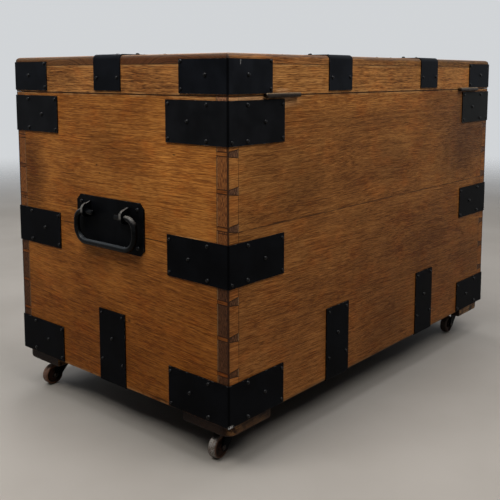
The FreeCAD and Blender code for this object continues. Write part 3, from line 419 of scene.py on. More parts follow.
def oak_material(name, along, colours, heart, lean, drift, spots, foot, top, pitch, joint, seed,
                 low_shade=(1, 1, 1), cloud=1.0):
    """Stained oak for one board. heart and lean have a value for the lower and the upper plank.
    A spot's colour and the painted shade towards the foot multiply the wood's own."""
    material, place, normal = new_material(name)
    x, y, z = split(place)
    lengthwise = along == "X"
    run, thick = (x, y) if lengthwise else (y, x)
    half_run, half_thick = (HALF_LENGTH, HALF_DEPTH) if lengthwise else (HALF_DEPTH, HALF_LENGTH)
    upper = ramp(z, joint - 0.0001, joint + 0.0001)

    def by_plank(lower_value, upper_value):
        return linear(upper, upper_value - lower_value, lower_value)

    high = calc("ADD", z, times(run, by_plank(*lean)))
    away = calc("ADD", run, linear(upper, PLANK_SHIFT, seed))
    heart_place = join(0.0, *[by_plank(*pair) for pair in zip(*heart)])
    oak = use_group(oak_figure, Place=join(away, thick, high), Heart=heart_place,
                    Drift=drift, Cloud=cloud, **colours)

    # End grain takes up more stain. On the long boards it is dark only in their lower part.
    sides = unsigned(normal)
    end_grain = ramp(sides[0 if lengthwise else 1], 0.6, 0.8)
    ticks = noise(join(times(thick, 210.0), times(z, 30.0), seed), 5.0)
    damp = most(fade(z, *DRY_LEVEL), 0.0 if lengthwise else 1.0)
    dark_end, light_end = [tint(damp, dry, wet) for dry, wet in zip(END_DRY, END_DAMP[along])]
    dull = tint(ramp(ticks, 0.40, 0.60), dark_end, light_end)
    reach = half_run - BOARD
    in_joint = ramp(size_of(run), reach - 0.0004, reach + 0.0004)
    colour = stain(in_joint, oak["Colour"], JOINT_SHADE[along])
    colour = tint(times(end_grain, 0.92), colour, dull)
    # Painted shade: the wood darkens towards the foot of the walls.
    colour = stain(fade(z, *LOW_SHADE_LEVEL), colour, low_shade)

    for (at, up), (wide, tall), strength, shadow in spots:
        spot = use_group(soft_spot, Place=join(run, 0.0, z), Centre=(at, 0.0, up), Reach=(wide, 1.0, tall))
        colour = stain(times(spot["Mask"], strength), colour, shadow)

    # Dark lines: the dovetails, the joint between the planks, the scribed line, and painted shadow in the
    # lid's opening.
    lines = use_group(dovetail_lines, Place=place, Normal=normal, Foot=foot, Pitch=pitch)
    patchy = noise(place, 38.0)
    seam = fade(size_of(less(z, joint)), 0.0004, 0.0015)
    seam = times(seam, ramp(patchy, 0.32, 0.54, 0.25, 1.0), 0.8)
    scribe = fade(size_of(less(size_of(run), reach)), 0.0002, 0.0011)
    scribe = times(scribe, ramp(patchy, 0.35, 0.55, 0.35, 0.8))
    opening_shadow = fade(size_of(less(z, (BODY_RIM + LID_FOOT) / 2)), 0.0007, 0.0016)
    opening_shadow = times(opening_shadow, fade(sides[2], 0.5, 0.8))
    dark = most(lines["Line"], seam, scribe, lines["Arris"], opening_shadow)
    colour = tint(times(dark, 0.88), colour, GROOVE)

    # The arrises are rubbed pale where no line runs, and a ragged band along the foot of the walls is darker.
    edge = from_edge(place, (-HALF_LENGTH, -HALF_DEPTH, foot), (HALF_LENGTH, HALF_DEPTH, top))
    near_end = calc("MINIMUM", less(z, foot), less(top, z))
    worn = times(fade(edge, 0.0010, 0.0044), ramp(patchy, 0.36, 0.6))
    worn = times(worn, fade(near_end, 0.003, 0.007), less(1.0, dark))
    colour = tint(times(worn, 0.6), colour, RUBBED_ARRIS)
    ragged = times(fade(less(z, BODY_FOOT), 0.0012, 0.0048), ramp(patchy, 0.30, 0.52, 0.45, 1.0))
    colour = stain(ragged, colour, FOOT_LINE[along])

    skin = half_thick - BOARD
    outside = ramp(size_of(thick), skin + 0.0004, skin + 0.0016)
    colour = tint(outside, tint(ramp(oak["Height"], -0.3, 1.2), *BARE_OAK), colour)
    surface(colour, oak["Roughness"], oak["Height"])
    return material


def dress(name, material):
    """Gives a CAD piece its material."""
    nodes[name].material_slots[0].material = material


# STAIN_AND_SHADE darkens: uneven stain on some boards, and painted shade where the light falls off, on the
# back towards its foot and far end and along the far edge of the right end.
STAIN_AND_SHADE = (0.36, 0.33, 0.32)
# FAR_GREY_SHADE is painted shade, cool and grey, on the far end of the back.
FAR_GREY_SHADE = (0.58, 0.60, 0.78)
RUBBED = (1.75, 1.80, 1.75)
KNOT = (0.08, 0.08, 0.12)
# PALE_WEAR_AND_LIGHT lightens: partly wood rubbed pale along the seam under the lid, partly painted light
# that lifts the shade round the hinge barrels.
PALE_WEAR_AND_LIGHT = (2.05, 2.75, 5.00)
BACK_SPOTS = (
    # place along the board and up, reach, strength, colour
    ((0.249, 0.395), (0.085, 0.055), 0.42, STAIN_AND_SHADE),
    ((-0.020, 0.408), (0.100, 0.055), 0.45, STAIN_AND_SHADE),
    ((-0.115, 0.400), (0.070, 0.038), 0.20, STAIN_AND_SHADE),
    ((-0.260, 0.385), (0.130, 0.075), 0.48, STAIN_AND_SHADE),
    ((0.083, 0.322), (0.060, 0.024), 0.40, STAIN_AND_SHADE),
    ((-0.110, 0.215), (0.330, 0.170), 0.44, STAIN_AND_SHADE),
    ((-0.005, 0.095), (0.130, 0.090), 0.62, STAIN_AND_SHADE),
    ((-0.350, 0.170), (0.120, 0.110), 0.52, STAIN_AND_SHADE),
    ((-0.340, 0.455), (0.210, 0.130), 1.00, FAR_GREY_SHADE),
    ((0.120, 0.512), (0.340, 0.030), 0.55, RUBBED),
    ((0.385, 0.440), (0.050, 0.055), 0.32, RUBBED),
    ((0.360, 0.5268), (0.130, 0.0065), 1.00, PALE_WEAR_AND_LIGHT),
    # painted light that lifts the shadow under the right hinge's barrel
    ((0.283, 0.5190), (0.044, 0.0110), 0.50, PALE_WEAR_AND_LIGHT),
    ((0.330, 0.225), (0.070, 0.060), 0.25, RUBBED),
    ((0.300, 0.3440), (0.030, 0.0016), 0.75, KNOT),
)
FRONT_SPOTS = (
    ((-0.280, 0.400), (0.080, 0.050), 0.40, STAIN_AND_SHADE),
    ((0.160, 0.230), (0.110, 0.070), 0.38, STAIN_AND_SHADE),
    ((0.020, 0.130), (0.200, 0.080), 0.40, STAIN_AND_SHADE),
    ((0.000, 0.510), (0.300, 0.030), 0.45, RUBBED),
    ((0.240, 0.430), (0.016, 0.004), 0.70, KNOT),
)
RIGHT_SPOTS = (
    ((0.1469, 0.4445), (0.0050, 0.0016), 0.95, KNOT),
    ((-0.0315, 0.4166), (0.0030, 0.0020), 0.80, KNOT),
    ((-0.0240, 0.4040), (0.0028, 0.0018), 0.80, KNOT),
    ((0.0900, 0.3140), (0.0140, 0.0011), 0.85, KNOT),
    ((0.0728, 0.4608), (0.0040, 0.0012), 0.60, KNOT),
    ((0.165, 0.430), (0.110, 0.090), 0.60, RUBBED),
    ((0.190, 0.320), (0.050, 0.080), 0.22, RUBBED),
    ((-0.010, 0.450), (0.060, 0.070), 0.28, STAIN_AND_SHADE),
    ((-0.215, 0.385), (0.060, 0.110), 0.92, STAIN_AND_SHADE),
    ((-0.028, 0.258), (0.050, 0.040), 0.46, STAIN_AND_SHADE),
    ((0.060, 0.105), (0.120, 0.045), 0.30, STAIN_AND_SHADE),
    ((0.210, 0.5268), (0.110, 0.0065), 0.36, PALE_WEAR_AND_LIGHT),
    ((0.185, 0.3284), (0.065, 0.0017), 0.50, PALE_WEAR_AND_LIGHT),
    ((0.041, 0.1770), (0.0060, 0.0040), 0.70, KNOT),
    ((0.112, 0.0690), (0.0300, 0.0055), 0.75, KNOT),
    ((0.085, 0.0850), (0.0100, 0.0100), 0.40, STAIN_AND_SHADE),
)
LEFT_SPOTS = (
    ((-0.110, 0.430), (0.0040, 0.0020), 0.85, KNOT),
    ((-0.160, 0.420), (0.100, 0.090), 0.40, RUBBED),
    ((0.190, 0.360), (0.070, 0.090), 0.50, STAIN_AND_SHADE),
)
# Painted shade that darkens the walls towards the foot, stronger on the ends.
WALL_LOW_SHADE = {"X": (0.90, 0.84, 0.80), "Y": (0.735, 0.645, 0.470)}
walls = (
    # node, along, colours, heart of the lower and upper plank, lean, drift, spots, seed
    ("back_board", "X", OAK_LONG, ((0.09, 0.245), (0.06, 0.395)), (-0.02, 0.015), 0.020, BACK_SPOTS, 0),
    ("front_board", "X", OAK_LONG, ((-0.10, 0.165), (-0.07, 0.450)), (0.02, -0.01), 0.016, FRONT_SPOTS, 11),
    ("right_end_board", "Y", OAK_ENDS, ((0.30, 0.215), (0.27, 0.470)), (0.055, 0.0), 0.011, RIGHT_SPOTS, 23),
    ("left_end_board", "Y", OAK_ENDS, ((-0.28, 0.180), (-0.25, 0.440)), (-0.02, 0.02), 0.012, LEFT_SPOTS, 37),
)
for name, along, colours, heart, lean, drift, spots, seed in walls:
    stained = oak_material("stained_" + name, along, colours, heart, lean, drift, spots, BODY_FOOT,
                           BODY_RIM, BODY_PITCH, PLANK_JOINT[along], seed, WALL_LOW_SHADE[along])
    dress(name, stained)


# ---- Bottom board --------------------------------
# The bottom is one plain oak board let in between the four walls. It never had any stain: it is
# bare and dry above, and painted dark below as the shade under the chest.

BARE_BOTTOM = tones((0.42, 0.28, 0.15), (0.29, 0.18, 0.09), (0.16, 0.09, 0.045), (0.07, 0.04, 0.02))
DULL_END = (0.5, 0.45, 0.42)
UNDERSIDE_SHADE = (0.22, 0.22, 0.24)


def bottom_material():
    """Bare oak, dull on its end grain, with painted shade underneath."""
    material, place, normal = new_material("bare_bottom")
    x, y, z = split(place)
    oak = use_group(oak_figure, Place=join(calc("ADD", x, 51.0), z, y), Heart=(0.0, -0.05, 0.02),
                    Drift=0.012, Cloud=1.0, **BARE_BOTTOM)
    colour = stain(ramp(unsigned(normal)[0], 0.6, 0.8), oak["Colour"], DULL_END)
    # Painted shade: the underside is darkened as the shade beneath the chest.
    colour = stain(fade(split(normal)[2], -0.9, -0.6), colour, UNDERSIDE_SHADE)
    surface(colour, calc("ADD", oak["Roughness"], 0.15), oak["Height"])
    return material


dress("bottom_board", bottom_material())


# ---- Lid -----------------------------------------
# A flat oak top board on a dovetailed frame of four rails. It is cut from the same planks as the
# walls but coloured a little lighter, partly painted light from above, and its outer arrises are rubbed pale.

# The lid's oak is lighter than the walls': partly painted light, as more light falls on the lid.
OAK_LID = tones((0.500, 0.230, 0.068), (0.295, 0.122, 0.032), (0.105, 0.038, 0.010), (0.050, 0.018, 0.006))
OAK_LID_ENDS = tones(
    (0.480, 0.212, 0.060), (0.250, 0.098, 0.026), (0.075, 0.026, 0.008), (0.038, 0.014, 0.005))
LID_GROOVE = (0.014, 0.006, 0.003)
LID_JOINT = 0.028
rails = (
    ("lid_back_rail", "X", OAK_LID, ((0.16, 0.50), (0.16, 0.50)), 61,
     (((0.293, 0.5355), (0.024, 0.0050), 0.45, PALE_WEAR_AND_LIGHT),)),
    ("lid_front_rail", "X", OAK_LID, ((-0.16, 0.52), (-0.16, 0.52)), 67, ()),
    ("lid_right_rail", "Y", OAK_LID_ENDS, ((0.30, 0.55), (0.30, 0.55)), 71,
     (((-0.130, 0.5540), (0.090, 0.040), 0.30, STAIN_AND_SHADE),)),
    ("lid_left_rail", "Y", OAK_LID_ENDS, ((-0.30, 0.54), (-0.30, 0.54)), 79, ()),
)
for name, along, colours, heart, seed, spots in rails:
    stained = oak_material("stained_" + name, along, colours, heart, (0.01, 0.01), 0.008, spots, LID_FOOT,
                           RAIL_TOP, LID_PITCH, RAIL_TOP - 0.0002, seed, cloud=0.7)
    dress(name, stained)


def lid_board_material():
    """The top board: wide figure above, a grey-brown band of edge round it, pale where it is rubbed."""
    material, place, normal = new_material("stained_lid_top")
    x, y, z = split(place)
    rear = ramp(y, LID_JOINT - 0.0001, LID_JOINT + 0.0001)
    lie = join(linear(rear, 2.9, calc("ADD", x, 83.0)), z, y)
    heart = join(0.0, 0.46, linear(rear, 0.27, -0.12))
    oak = use_group(oak_figure, Place=lie, Heart=heart, Drift=0.016, Cloud=1.1, **OAK_LID)
    sides = unsigned(normal)
    end_grain = ramp(sides[0], 0.6, 0.8)
    dull = tint(ramp(oak["Rings"], 0.2, 0.8), (0.062, 0.029, 0.014), (0.130, 0.062, 0.028))
    colour = tint(times(end_grain, 0.80), oak["Colour"], dull)
    seam = fade(size_of(less(y, LID_JOINT)), 0.0002, 0.0009)
    under = fade(z, RAIL_TOP + 0.0003, RAIL_TOP + 0.0012)
    colour = tint(times(most(seam, under), 0.8), colour, LID_GROOVE)

    # The arris: a pale rubbed band, with a dark line of handling on its very crown.
    edge = from_edge(place, (-HALF_LENGTH, -HALF_DEPTH, RAIL_TOP - 0.02), (HALF_LENGTH, HALF_DEPTH, LID_TOP))
    worn = times(fade(edge, 0.0015, 0.008), ramp(noise(place, 30.0, 3.0), 0.35, 0.65))
    colour = tint(times(worn, 0.6), colour, (0.170, 0.112, 0.070))
    colour = tint(ramp(edge, 0.0010, 0.0060, 0.85, 0.0), colour, (0.056, 0.041, 0.031))

    # Its upright edges are darker than its face, and not evenly so: along the back this is painted shade that
    # deepens towards the far end.
    end_shade = tint(ramp(y, -0.10, 0.02), (0.85, 0.79, 0.71), (0.66, 0.53, 0.50))
    side_shade = tint(ramp(x, -0.20, 0.25), (0.64, 0.69, 0.72), (0.89, 0.87, 0.97))
    colour = stain(fade(sides[2], 0.5, 0.8), colour, tint(end_grain, side_shade, end_shade))
    bare = tint(ramp(oak["Height"], -0.3, 1.2), *BARE_OAK)
    colour = tint(fade(z, RAIL_TOP - 0.0002, RAIL_TOP + 0.0002), colour, bare)
    colour = stain(ramp(sides[2], 0.7, 0.9), colour, (0.74, 0.70, 0.70))
    surface(colour, oak["Roughness"], oak["Height"])
    return material


dress("lid_top_board", lid_board_material())


# ---- Blocks under the corners --------------------
# Each caster is screwed to a rounded oak block under the corner. The blocks are stained nearly black,
# and the stain has rubbed off brown on the long sides, most of all close to the corner.

CORNERS = {"back_right": (1, 1), "back_left": (-1, 1), "front_left": (-1, -1), "front_right": (1, -1)}
OAK_BLOCK = tones(
    (0.028, 0.015, 0.010), (0.012, 0.007, 0.0055), (0.006, 0.004, 0.0035), (0.004, 0.003, 0.003))
BLOCK_BROWN = tones(
    (0.270, 0.145, 0.062), (0.150, 0.078, 0.034), (0.060, 0.030, 0.014), (0.020, 0.010, 0.006))
BLOCK_WORN = (0.372, 0.402)


def block_material():
    """Black-stained oak, rubbed back to brown along the sides that face the front and the back."""
    material, place, normal = new_material("dark_blocks")
    x, y, z = split(place)
    lie = join(calc("ADD", x, 91.0), z, y)
    black, brown = [
        use_group(oak_figure, Place=lie, Heart=(0.0, 0.15, 0.1), Drift=0.01, Cloud=1.3, **colours)
        for colours in (OAK_BLOCK, BLOCK_BROWN)
    ]
    rubbed = times(ramp(unsigned(normal)[1], 0.45, 0.9), ramp(noise(place, 90.0, 3.0), 0.34, 0.58))
    near_corner = ramp(size_of(x), *BLOCK_WORN, 0.25, 1.0)
    rubbed = times(rubbed, most(near_corner, fade(x, -0.2, 0.2)))
    surface(tint(rubbed, black["Colour"], brown["Colour"]), black["Roughness"], black["Height"])
    return material


dark_blocks = block_material()
for corner in CORNERS:
    dress("caster_block_" + corner, dark_blocks)


# ---- Corner irons --------------------------------
# Sixteen corner irons of 2 mm plate, each folded once round an upright edge: three on every corner
# of the body and one on the lid. They are brushed with satin black paint, rubbed on their edges.

def iron_group():
    """Satin black paint on plate: faint brush and hammer marks, dust, and bare metal on rubbed edges."""
    given, out = new_group(
        "black_paint",
        [("Edge", "float", 1.0), ("Wear", "float", 1.0), ("Rough", "float", 0.42),
         ("Black", "colour", (0.0028, 0.0031, 0.0039))],
        ["Colour", "Roughness", "Metallic", "Height"],
    )
    brushed = noise(given["Place"], 26.0, 4.0)
    fine = noise(given["Place"], 420.0, 3.0)
    thin = ramp(brushed, 0.35, 0.7, 0.7, 1.3)
    black = shade("VectorMath", {0: given["Black"], "Scale": thin}, operation="SCALE")
    black = tint(times(ramp(fine, 0.66, 0.80), 0.25), black, (0.035, 0.030, 0.025))
    broken = ramp(noise(given["Place"], 150.0, 4.0), 0.52, 0.7)
    rubbed = times(fade(given["Edge"], 0.0001, 0.0009), broken)
    rubbed = calc("MULTIPLY", rubbed, given["Wear"], clamp=True)
    colour = tint(rubbed, black, (0.085, 0.080, 0.076))
    rough = linear(ramp(brushed, 0.3, 0.7), 0.12, given["Rough"])
    return give(out, colour, rough, times(rubbed, 0.6), linear(fine, 0.12, brushed))


black_paint = iron_group()
IRON = 0.002
BARE_STEEL = (0.42, 0.41, 0.40)
BODY_BLACK = (0.0026, 0.0029, 0.0037)
# The lid and top irons are painted lighter than the body's black: painted light, where more light falls on
# them. On the lid the back and front faces are lighter still.
LID_LIT_BLACK = (0.0050, 0.0058, 0.0078)
LID_LIT_REAR = (0.0078, 0.0088, 0.0112)
TOP_LIT_BLACK = (0.0062, 0.0066, 0.0078)
# Two far back irons are painted lighter still: a painted sheen.
BACK_IRON_SHEEN = {
    "top_back_left": (0.0125, 0.0132, 0.0132),
    "middle_back_left": (0.0052, 0.0054, 0.0058),
}
OUT_X = HALF_LENGTH + IRON
OUT_Y = HALF_DEPTH + IRON
STRAP_REACH = 0.110
PLATE_RELIEF = (0.35, 0.0006, 0.02)
FOLD_SHADE = (0.0006, 0.0007, 0.0010)


def iron_material(name, low, high, marks=(), wear=1.0, rough=0.42, on_ends=None, black=BODY_BLACK,
                  rear=BODY_BLACK):
    """Painted plate. low and high bound the piece with its place folded into the back right quarter, and
    on_ends bounds it again where a strap lies on an end. rear is the black of the back and the front.
    Where black or rear is lighter than the body's black, the difference is painted light."""
    material, place, normal = new_material(name)
    folded = vector("ABSOLUTE", place)
    edge = from_edge(folded, low, high)
    x, y, _ = split(folded)
    if on_ends:
        on_end = calc("GREATER_THAN", x, HALF_LENGTH - STRAP_REACH)
        edge = calc("ADD", times(from_edge(folded, *on_ends), on_end), times(edge, less(1.0, on_end)))
    black = tint(ramp(unsigned(normal)[1], 0.5, 0.8), black, rear)
    paint = use_group(black_paint, Place=place, Edge=edge, Wear=wear, Rough=rough, Black=black)
    metal = paint["Metallic"]
    fold = most(less(OUT_X, x), less(OUT_Y, y))
    colour = tint(ramp(fold, 0.0012, 0.0042, 0.8, 0.0), paint["Colour"], FOLD_SHADE)
    for centre, reach, strength in marks:
        bare = use_group(soft_spot, Place=place, Centre=centre, Reach=reach)["Mask"]
        bare = times(bare, ramp(noise(place, 330.0, 3.0), 0.46, 0.56))
        bare = calc("MULTIPLY", bare, strength, clamp=True)
        colour = tint(bare, colour, BARE_STEEL)
        metal = most(metal, times(bare, 0.5))
    surface(colour, paint["Roughness"], paint["Height"], *PLATE_RELIEF, metal)
    return material


TIERS = {
    # tier: foot, top, where the legs end along X and along Y
    "top": (0.4620, 0.5235, 0.290, 0.1315),
    "middle": (0.2659, 0.3275, 0.290, 0.1315),
    "bottom": (0.0665, 0.1280, 0.290, 0.1315),
    "lid": (0.5322, 0.5801, 0.318, 0.1595),
}
MARKS = {
    # piece: place, reach and strength of each bare mark
    "lid_bracket_back_right": (
        ((0.3866, 0.2535, 0.5765), (0.0011, 0.004, 0.0070), 1.0),
        ((0.3850, 0.2535, 0.5790), (0.0024, 0.004, 0.0026), 0.7),
    ),
    "bottom_bracket_back_right": (((0.4075, 0.2535, 0.0668), (0.0072, 0.0060, 0.0050), 2.2),),
}
# Lighter blacks of painted light for the lid and the top tier.
LIT_BLACKS = {"lid": (LID_LIT_BLACK, LID_LIT_REAR), "top": (TOP_LIT_BLACK, TOP_LIT_BLACK)}
for tier, (foot, top, end_x, end_y) in TIERS.items():
    for corner in CORNERS:
        name = tier + "_bracket_" + corner
        black, rear = LIT_BLACKS.get(tier, (BODY_BLACK, BODY_BLACK))
        painted = iron_material(
            "painted_" + tier + "_iron_" + corner, (end_x, end_y, foot), (OUT_X, OUT_Y, top),
            MARKS.get(name, ()), black=black, rear=BACK_IRON_SHEEN.get(tier + "_" + corner, rear))
        dress(name, painted)


# ---- Straps --------------------------------------
# Twelve straps of the same plate: six hooked over the lid's edge and six folded under the foot of the
# walls, two on each long side and one on each end.

STRAP_HALF = 0.03175
STRAP_X = 0.1465
LID_STRAP_TOP = 0.5896
BASE_STRAP_FOOT = 0.063
STRAPS = {
    # node: how far it lies over the lid or under the walls, foot, top, looks
    "lid_straps": (0.104, 0.534, LID_STRAP_TOP, dict(rough=0.40, black=LID_LIT_BLACK, rear=LID_LIT_REAR)),
    "base_straps": (0.060, BASE_STRAP_FOOT, 0.184, {}),
}
for name, (reach, foot, top, looks) in STRAPS.items():
    on_ends = ((HALF_LENGTH - reach, -STRAP_HALF, foot), (OUT_X, STRAP_HALF, top))
    painted = iron_material(
        "painted_" + name, (STRAP_X - STRAP_HALF, HALF_DEPTH - reach, foot),
        (STRAP_X + STRAP_HALF, OUT_Y, top), on_ends=on_ends, **looks)
    dress(name, painted)


# ---- Nails ---------------------------------------
# Every iron and strap is held by domed nails, driven by hand, so they lean a little and differ in
# size. Each is a flattened dome of black iron on a thin rim, polished by rubbing on its crown.

def turned(facing):
    """A turn that points local Z along the way a face looks."""
    return Vector(facing).to_track_quat("Z", "Y").to_matrix().to_4x4()


HEAD_SUNK = 0.0003
RIM_TOP = 0.00035
RIM_STEP = 0.94
DOME_FOOT = 0.0006


def add_dome(bm, place, facing, radius, height, rings=5, sides=18):
    """A domed head on a thin rim, that sits a little way into what carries it."""
    seat = Matrix.Translation(place) @ turned(facing)
    profile = [(radius, -HEAD_SUNK), (radius, RIM_TOP), (radius * RIM_STEP, DOME_FOOT)]
    for step in range(1, rings):
        angle = step / rings * math.pi / 2
        rise = DOME_FOOT + (height - DOME_FOOT) * math.sin(angle)
        profile.append((radius * RIM_STEP * math.cos(angle), rise))
    loops = []
    for reach, rise in profile:
        loops.append([
            bm.verts.new(seat @ Vector((
                reach * math.cos(math.tau * k / sides), reach * math.sin(math.tau * k / sides), rise)))
            for k in range(sides)
        ])
    crown = bm.verts.new(seat @ Vector((0, 0, height)))
    bm.faces.new(reversed(loops[0]))
    for lower, higher in zip(loops, loops[1:]):
        for k in range(sides):
            n = (k + 1) % sides
            bm.faces.new((lower[k], lower[n], higher[n], higher[k])).smooth = True
    for k in range(sides):
        bm.faces.new((loops[-1][k], loops[-1][(k + 1) % sides], crown)).smooth = True


def new_piece(name, bm, body, material):
    """Turns a finished mesh into a piece that rides on a body."""
    made = bpy.data.objects.new(name, bpy.data.meshes.new(name))
    bm.to_mesh(made.data)
    bm.free()
    made.data.materials.append(material)
    scene.collection.objects.link(made)
    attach(made, body)


nail_paint, place, _ = new_material("nail_heads")
paint = use_group(black_paint, Place=place, Edge=1.0, Wear=0.0, Rough=0.08, Black=(0.0010, 0.0011, 0.0013))
colour = tint(ramp(noise(place, 60.0), 0.5, 0.75), paint["Colour"], (0.004, 0.004, 0.004))
surface(colour, paint["Roughness"], paint["Height"], 0.3, 0.0003, 0.14)

hand = random.Random(1871)
SMALL_NAIL = 0.0027
LARGE_NAIL = 0.0033
NAIL_LEAN = 0.05
NAIL_SHIFT = 0.0008
NAIL_SIZES = (0.93, 1.07)
NAIL_DOMES = (0.70, 0.84)


def driven(bm, place, facing, radius):
    """One nail head with the small differences of hand work."""
    lean = Vector([hand.uniform(-NAIL_LEAN, NAIL_LEAN) for _ in range(3)])
    shift = Vector([hand.uniform(-NAIL_SHIFT, NAIL_SHIFT) for _ in range(3)])
    along_face = shift - Vector(facing) * shift.dot(Vector(facing))
    size = radius * hand.uniform(*NAIL_SIZES)
    height = size * hand.uniform(*NAIL_DOMES)
    add_dome(bm, Vector(place) + along_face, Vector(facing) + lean, size, height)


def corner_iron_nails(bm, sx, sy, middle, rows):
    """Nails in both legs of a corner iron."""
    for reach, up, radius in rows:
        driven(bm, (sx * (OUT_X - reach), sy * OUT_Y, middle + up), (0, sy, 0), radius)
        driven(bm, (sx * OUT_X, sy * (OUT_Y - reach), middle + up), (sx, 0, 0), radius)


BODY_ROWS = (
    # from the fold, above the middle of the iron, radius
    (0.117, 0.0245, SMALL_NAIL), (0.117, -0.0245, SMALL_NAIL),
    (0.040, 0.0245, LARGE_NAIL), (0.040, -0.0245, LARGE_NAIL),
    (0.078, 0.0, LARGE_NAIL),
)
LID_ROWS = ((0.090, 0.0190, SMALL_NAIL), (0.090, -0.0190, SMALL_NAIL), (0.042, 0.0, LARGE_NAIL))
LID_ROW_MIDDLE = 0.5580
FOLD_NAIL = (0.007, -0.0255)
body_nails = bmesh.new()
lid_nails = bmesh.new()
for sx, sy in CORNERS.values():
    for tier in ("top", "middle", "bottom"):
        middle = sum(TIERS[tier][:2]) / 2
        corner_iron_nails(body_nails, sx, sy, middle, BODY_ROWS)
        if tier != "bottom":
            at = (sx * (OUT_X - FOLD_NAIL[0]), sy * OUT_Y, middle + FOLD_NAIL[1])
            driven(body_nails, at, (0, sy, 0), SMALL_NAIL)
    corner_iron_nails(lid_nails, sx, sy, LID_ROW_MIDDLE, LID_ROWS)

STRAP_SEATS = [((x, s * OUT_Y), (0, s)) for x in (-STRAP_X, STRAP_X) for s in (1, -1)]
STRAP_SEATS += [((s * OUT_X, 0.0), (s, 0)) for s in (1, -1)]
STRAP_NAIL_SIDE = 0.0248
LID_STRAP_NAIL, LID_STRAP_INSETS = 0.5540, (0.043, 0.100)
BASE_STRAP_NAILS, BASE_STRAP_INSETS = (0.1775, 0.1000), (0.026, 0.050)
BASE_STRAP_MIDDLE = 0.1380
for (x, y), (nx, ny) in STRAP_SEATS:
    for across in (-STRAP_NAIL_SIDE, STRAP_NAIL_SIDE):
        side = (x + across * abs(ny), y + across * abs(nx))
        driven(lid_nails, (*side, LID_STRAP_NAIL), (nx, ny, 0), SMALL_NAIL)
        for z in BASE_STRAP_NAILS:
            driven(body_nails, (*side, z), (nx, ny, 0), SMALL_NAIL)
        for inset in LID_STRAP_INSETS:
            over = (side[0] - nx * inset, side[1] - ny * inset, LID_STRAP_TOP)
            driven(lid_nails, over, (0, 0, 1), LARGE_NAIL)
    driven(body_nails, (x, y, BASE_STRAP_MIDDLE), (nx, ny, 0), LARGE_NAIL)
    for inset in BASE_STRAP_INSETS:
        under = (x - nx * inset, y - ny * inset, BASE_STRAP_FOOT)
        driven(body_nails, under, (0, 0, -1), SMALL_NAIL)
new_piece("body_nails", body_nails, "chest", nail_paint)
new_piece("lid_nails", lid_nails, "lid", nail_paint)


# ---- Hinges --------------------------------------
# Two steel butt hinges lie in the seam at the back, with only their barrels outside. Bare steel gone
# brown, with countersunk screws in both leaves.

def steel_material(name, bright, brown, rust, scale=60.0, rough=0.42, metal=0.8, gloss=0.4, crown=None):
    """Worn bare steel with brown tarnish and spots of rust. crown is a painted highlight on top of a rear
    barrel.
    """
    material, place, normal = new_material(name)
    wide = noise(place, scale, 5.0, 0.6)
    fine = noise(place, scale * 7, 3.0)
    colour = tint(ramp(wide, 0.35, 0.65), bright, brown)
    rusty = times(ramp(fine, 0.52, 0.7), ramp(wide, 0.45, 0.7))
    colour = tint(times(rusty, 0.85), colour, rust)
    # Painted highlight: the crown colour on the upward faces of a barrel outside the back.
    if crown:
        up = ramp(split(normal)[2], 0.40, 0.85)
        up = times(up, ramp(split(place)[1], HALF_DEPTH + 0.0002, HALF_DEPTH + 0.0010))
        colour = tint(times(up, ramp(wide, 0.35, 0.6, 0.5, 1.0)), colour, crown)
    left_bright = calc("MULTIPLY_ADD", rusty, -metal, metal, clamp=True)
    surface(colour, linear(rusty, 0.3, rough), fine, 0.3, 0.0003, gloss, left_bright)
    return material


# The hinges' crown colour is a painted highlight along the top of their barrels.
hinge_metal = steel_material("tarnished_hinge", (0.024, 0.016, 0.011), (0.009, 0.006, 0.004),
                             (0.030, 0.013, 0.007), 110.0, rough=0.30, metal=0.2, gloss=0.12,
                             crown=(0.170, 0.115, 0.065))
for side in ("right", "left"):
    for part in ("hinge_body_leaf_", "hinge_lid_leaf_", "hinge_pin_"):
        dress(part + side, hinge_metal)


SLOT = 0.0007
SLOT_TURNS = (0, 3.1)
CROWN_SHARE = 0.96
SHOULDER_SHARE = 0.08


def add_slotted(bm, place, facing, radius, height, turn, sides=20):
    """A flat screw head on a short round side: two halves, with a slot between them as deep as wide."""
    seat = Matrix.Translation(place) @ turned(facing) @ Matrix.Rotation(turn, 4, "Z")
    start = math.asin(SLOT / 2 / radius)

    def vert(x, y, z):
        return bm.verts.new(seat @ Vector((x, y, z)))

    trench = []
    for sign in (1, -1):
        arc = [start + (math.pi - 2 * start) * k / sides for k in range(sides + 1)]
        ring = [(radius * math.cos(a), sign * radius * math.sin(a)) for a in arc]
        crown = [vert(x * CROWN_SHARE, y * CROWN_SHARE if abs(y) > SLOT else y, height) for x, y in ring]
        shoulder = [vert(x, y, height - radius * SHOULDER_SHARE) for x, y in ring]
        foot = [vert(x, y, height - SLOT - HEAD_SUNK) for x, y in ring]
        faces = [crown]
        for top, low in ((crown, shoulder), (shoulder, foot)):
            faces += [(top[k], low[k], low[k + 1], top[k + 1]) for k in range(sides)]
        wall_low = [vert(*ring[0], height - SLOT), vert(*ring[-1], height - SLOT)]
        faces.append((crown[-1], crown[0], wall_low[0], wall_low[1]))
        trench.append(wall_low)
        for face in faces:
            made = bm.faces.new(face if sign == 1 else tuple(reversed(face)))
            made.smooth = False
    (a, b), (c, d) = trench
    bm.faces.new((b, a, c, d))


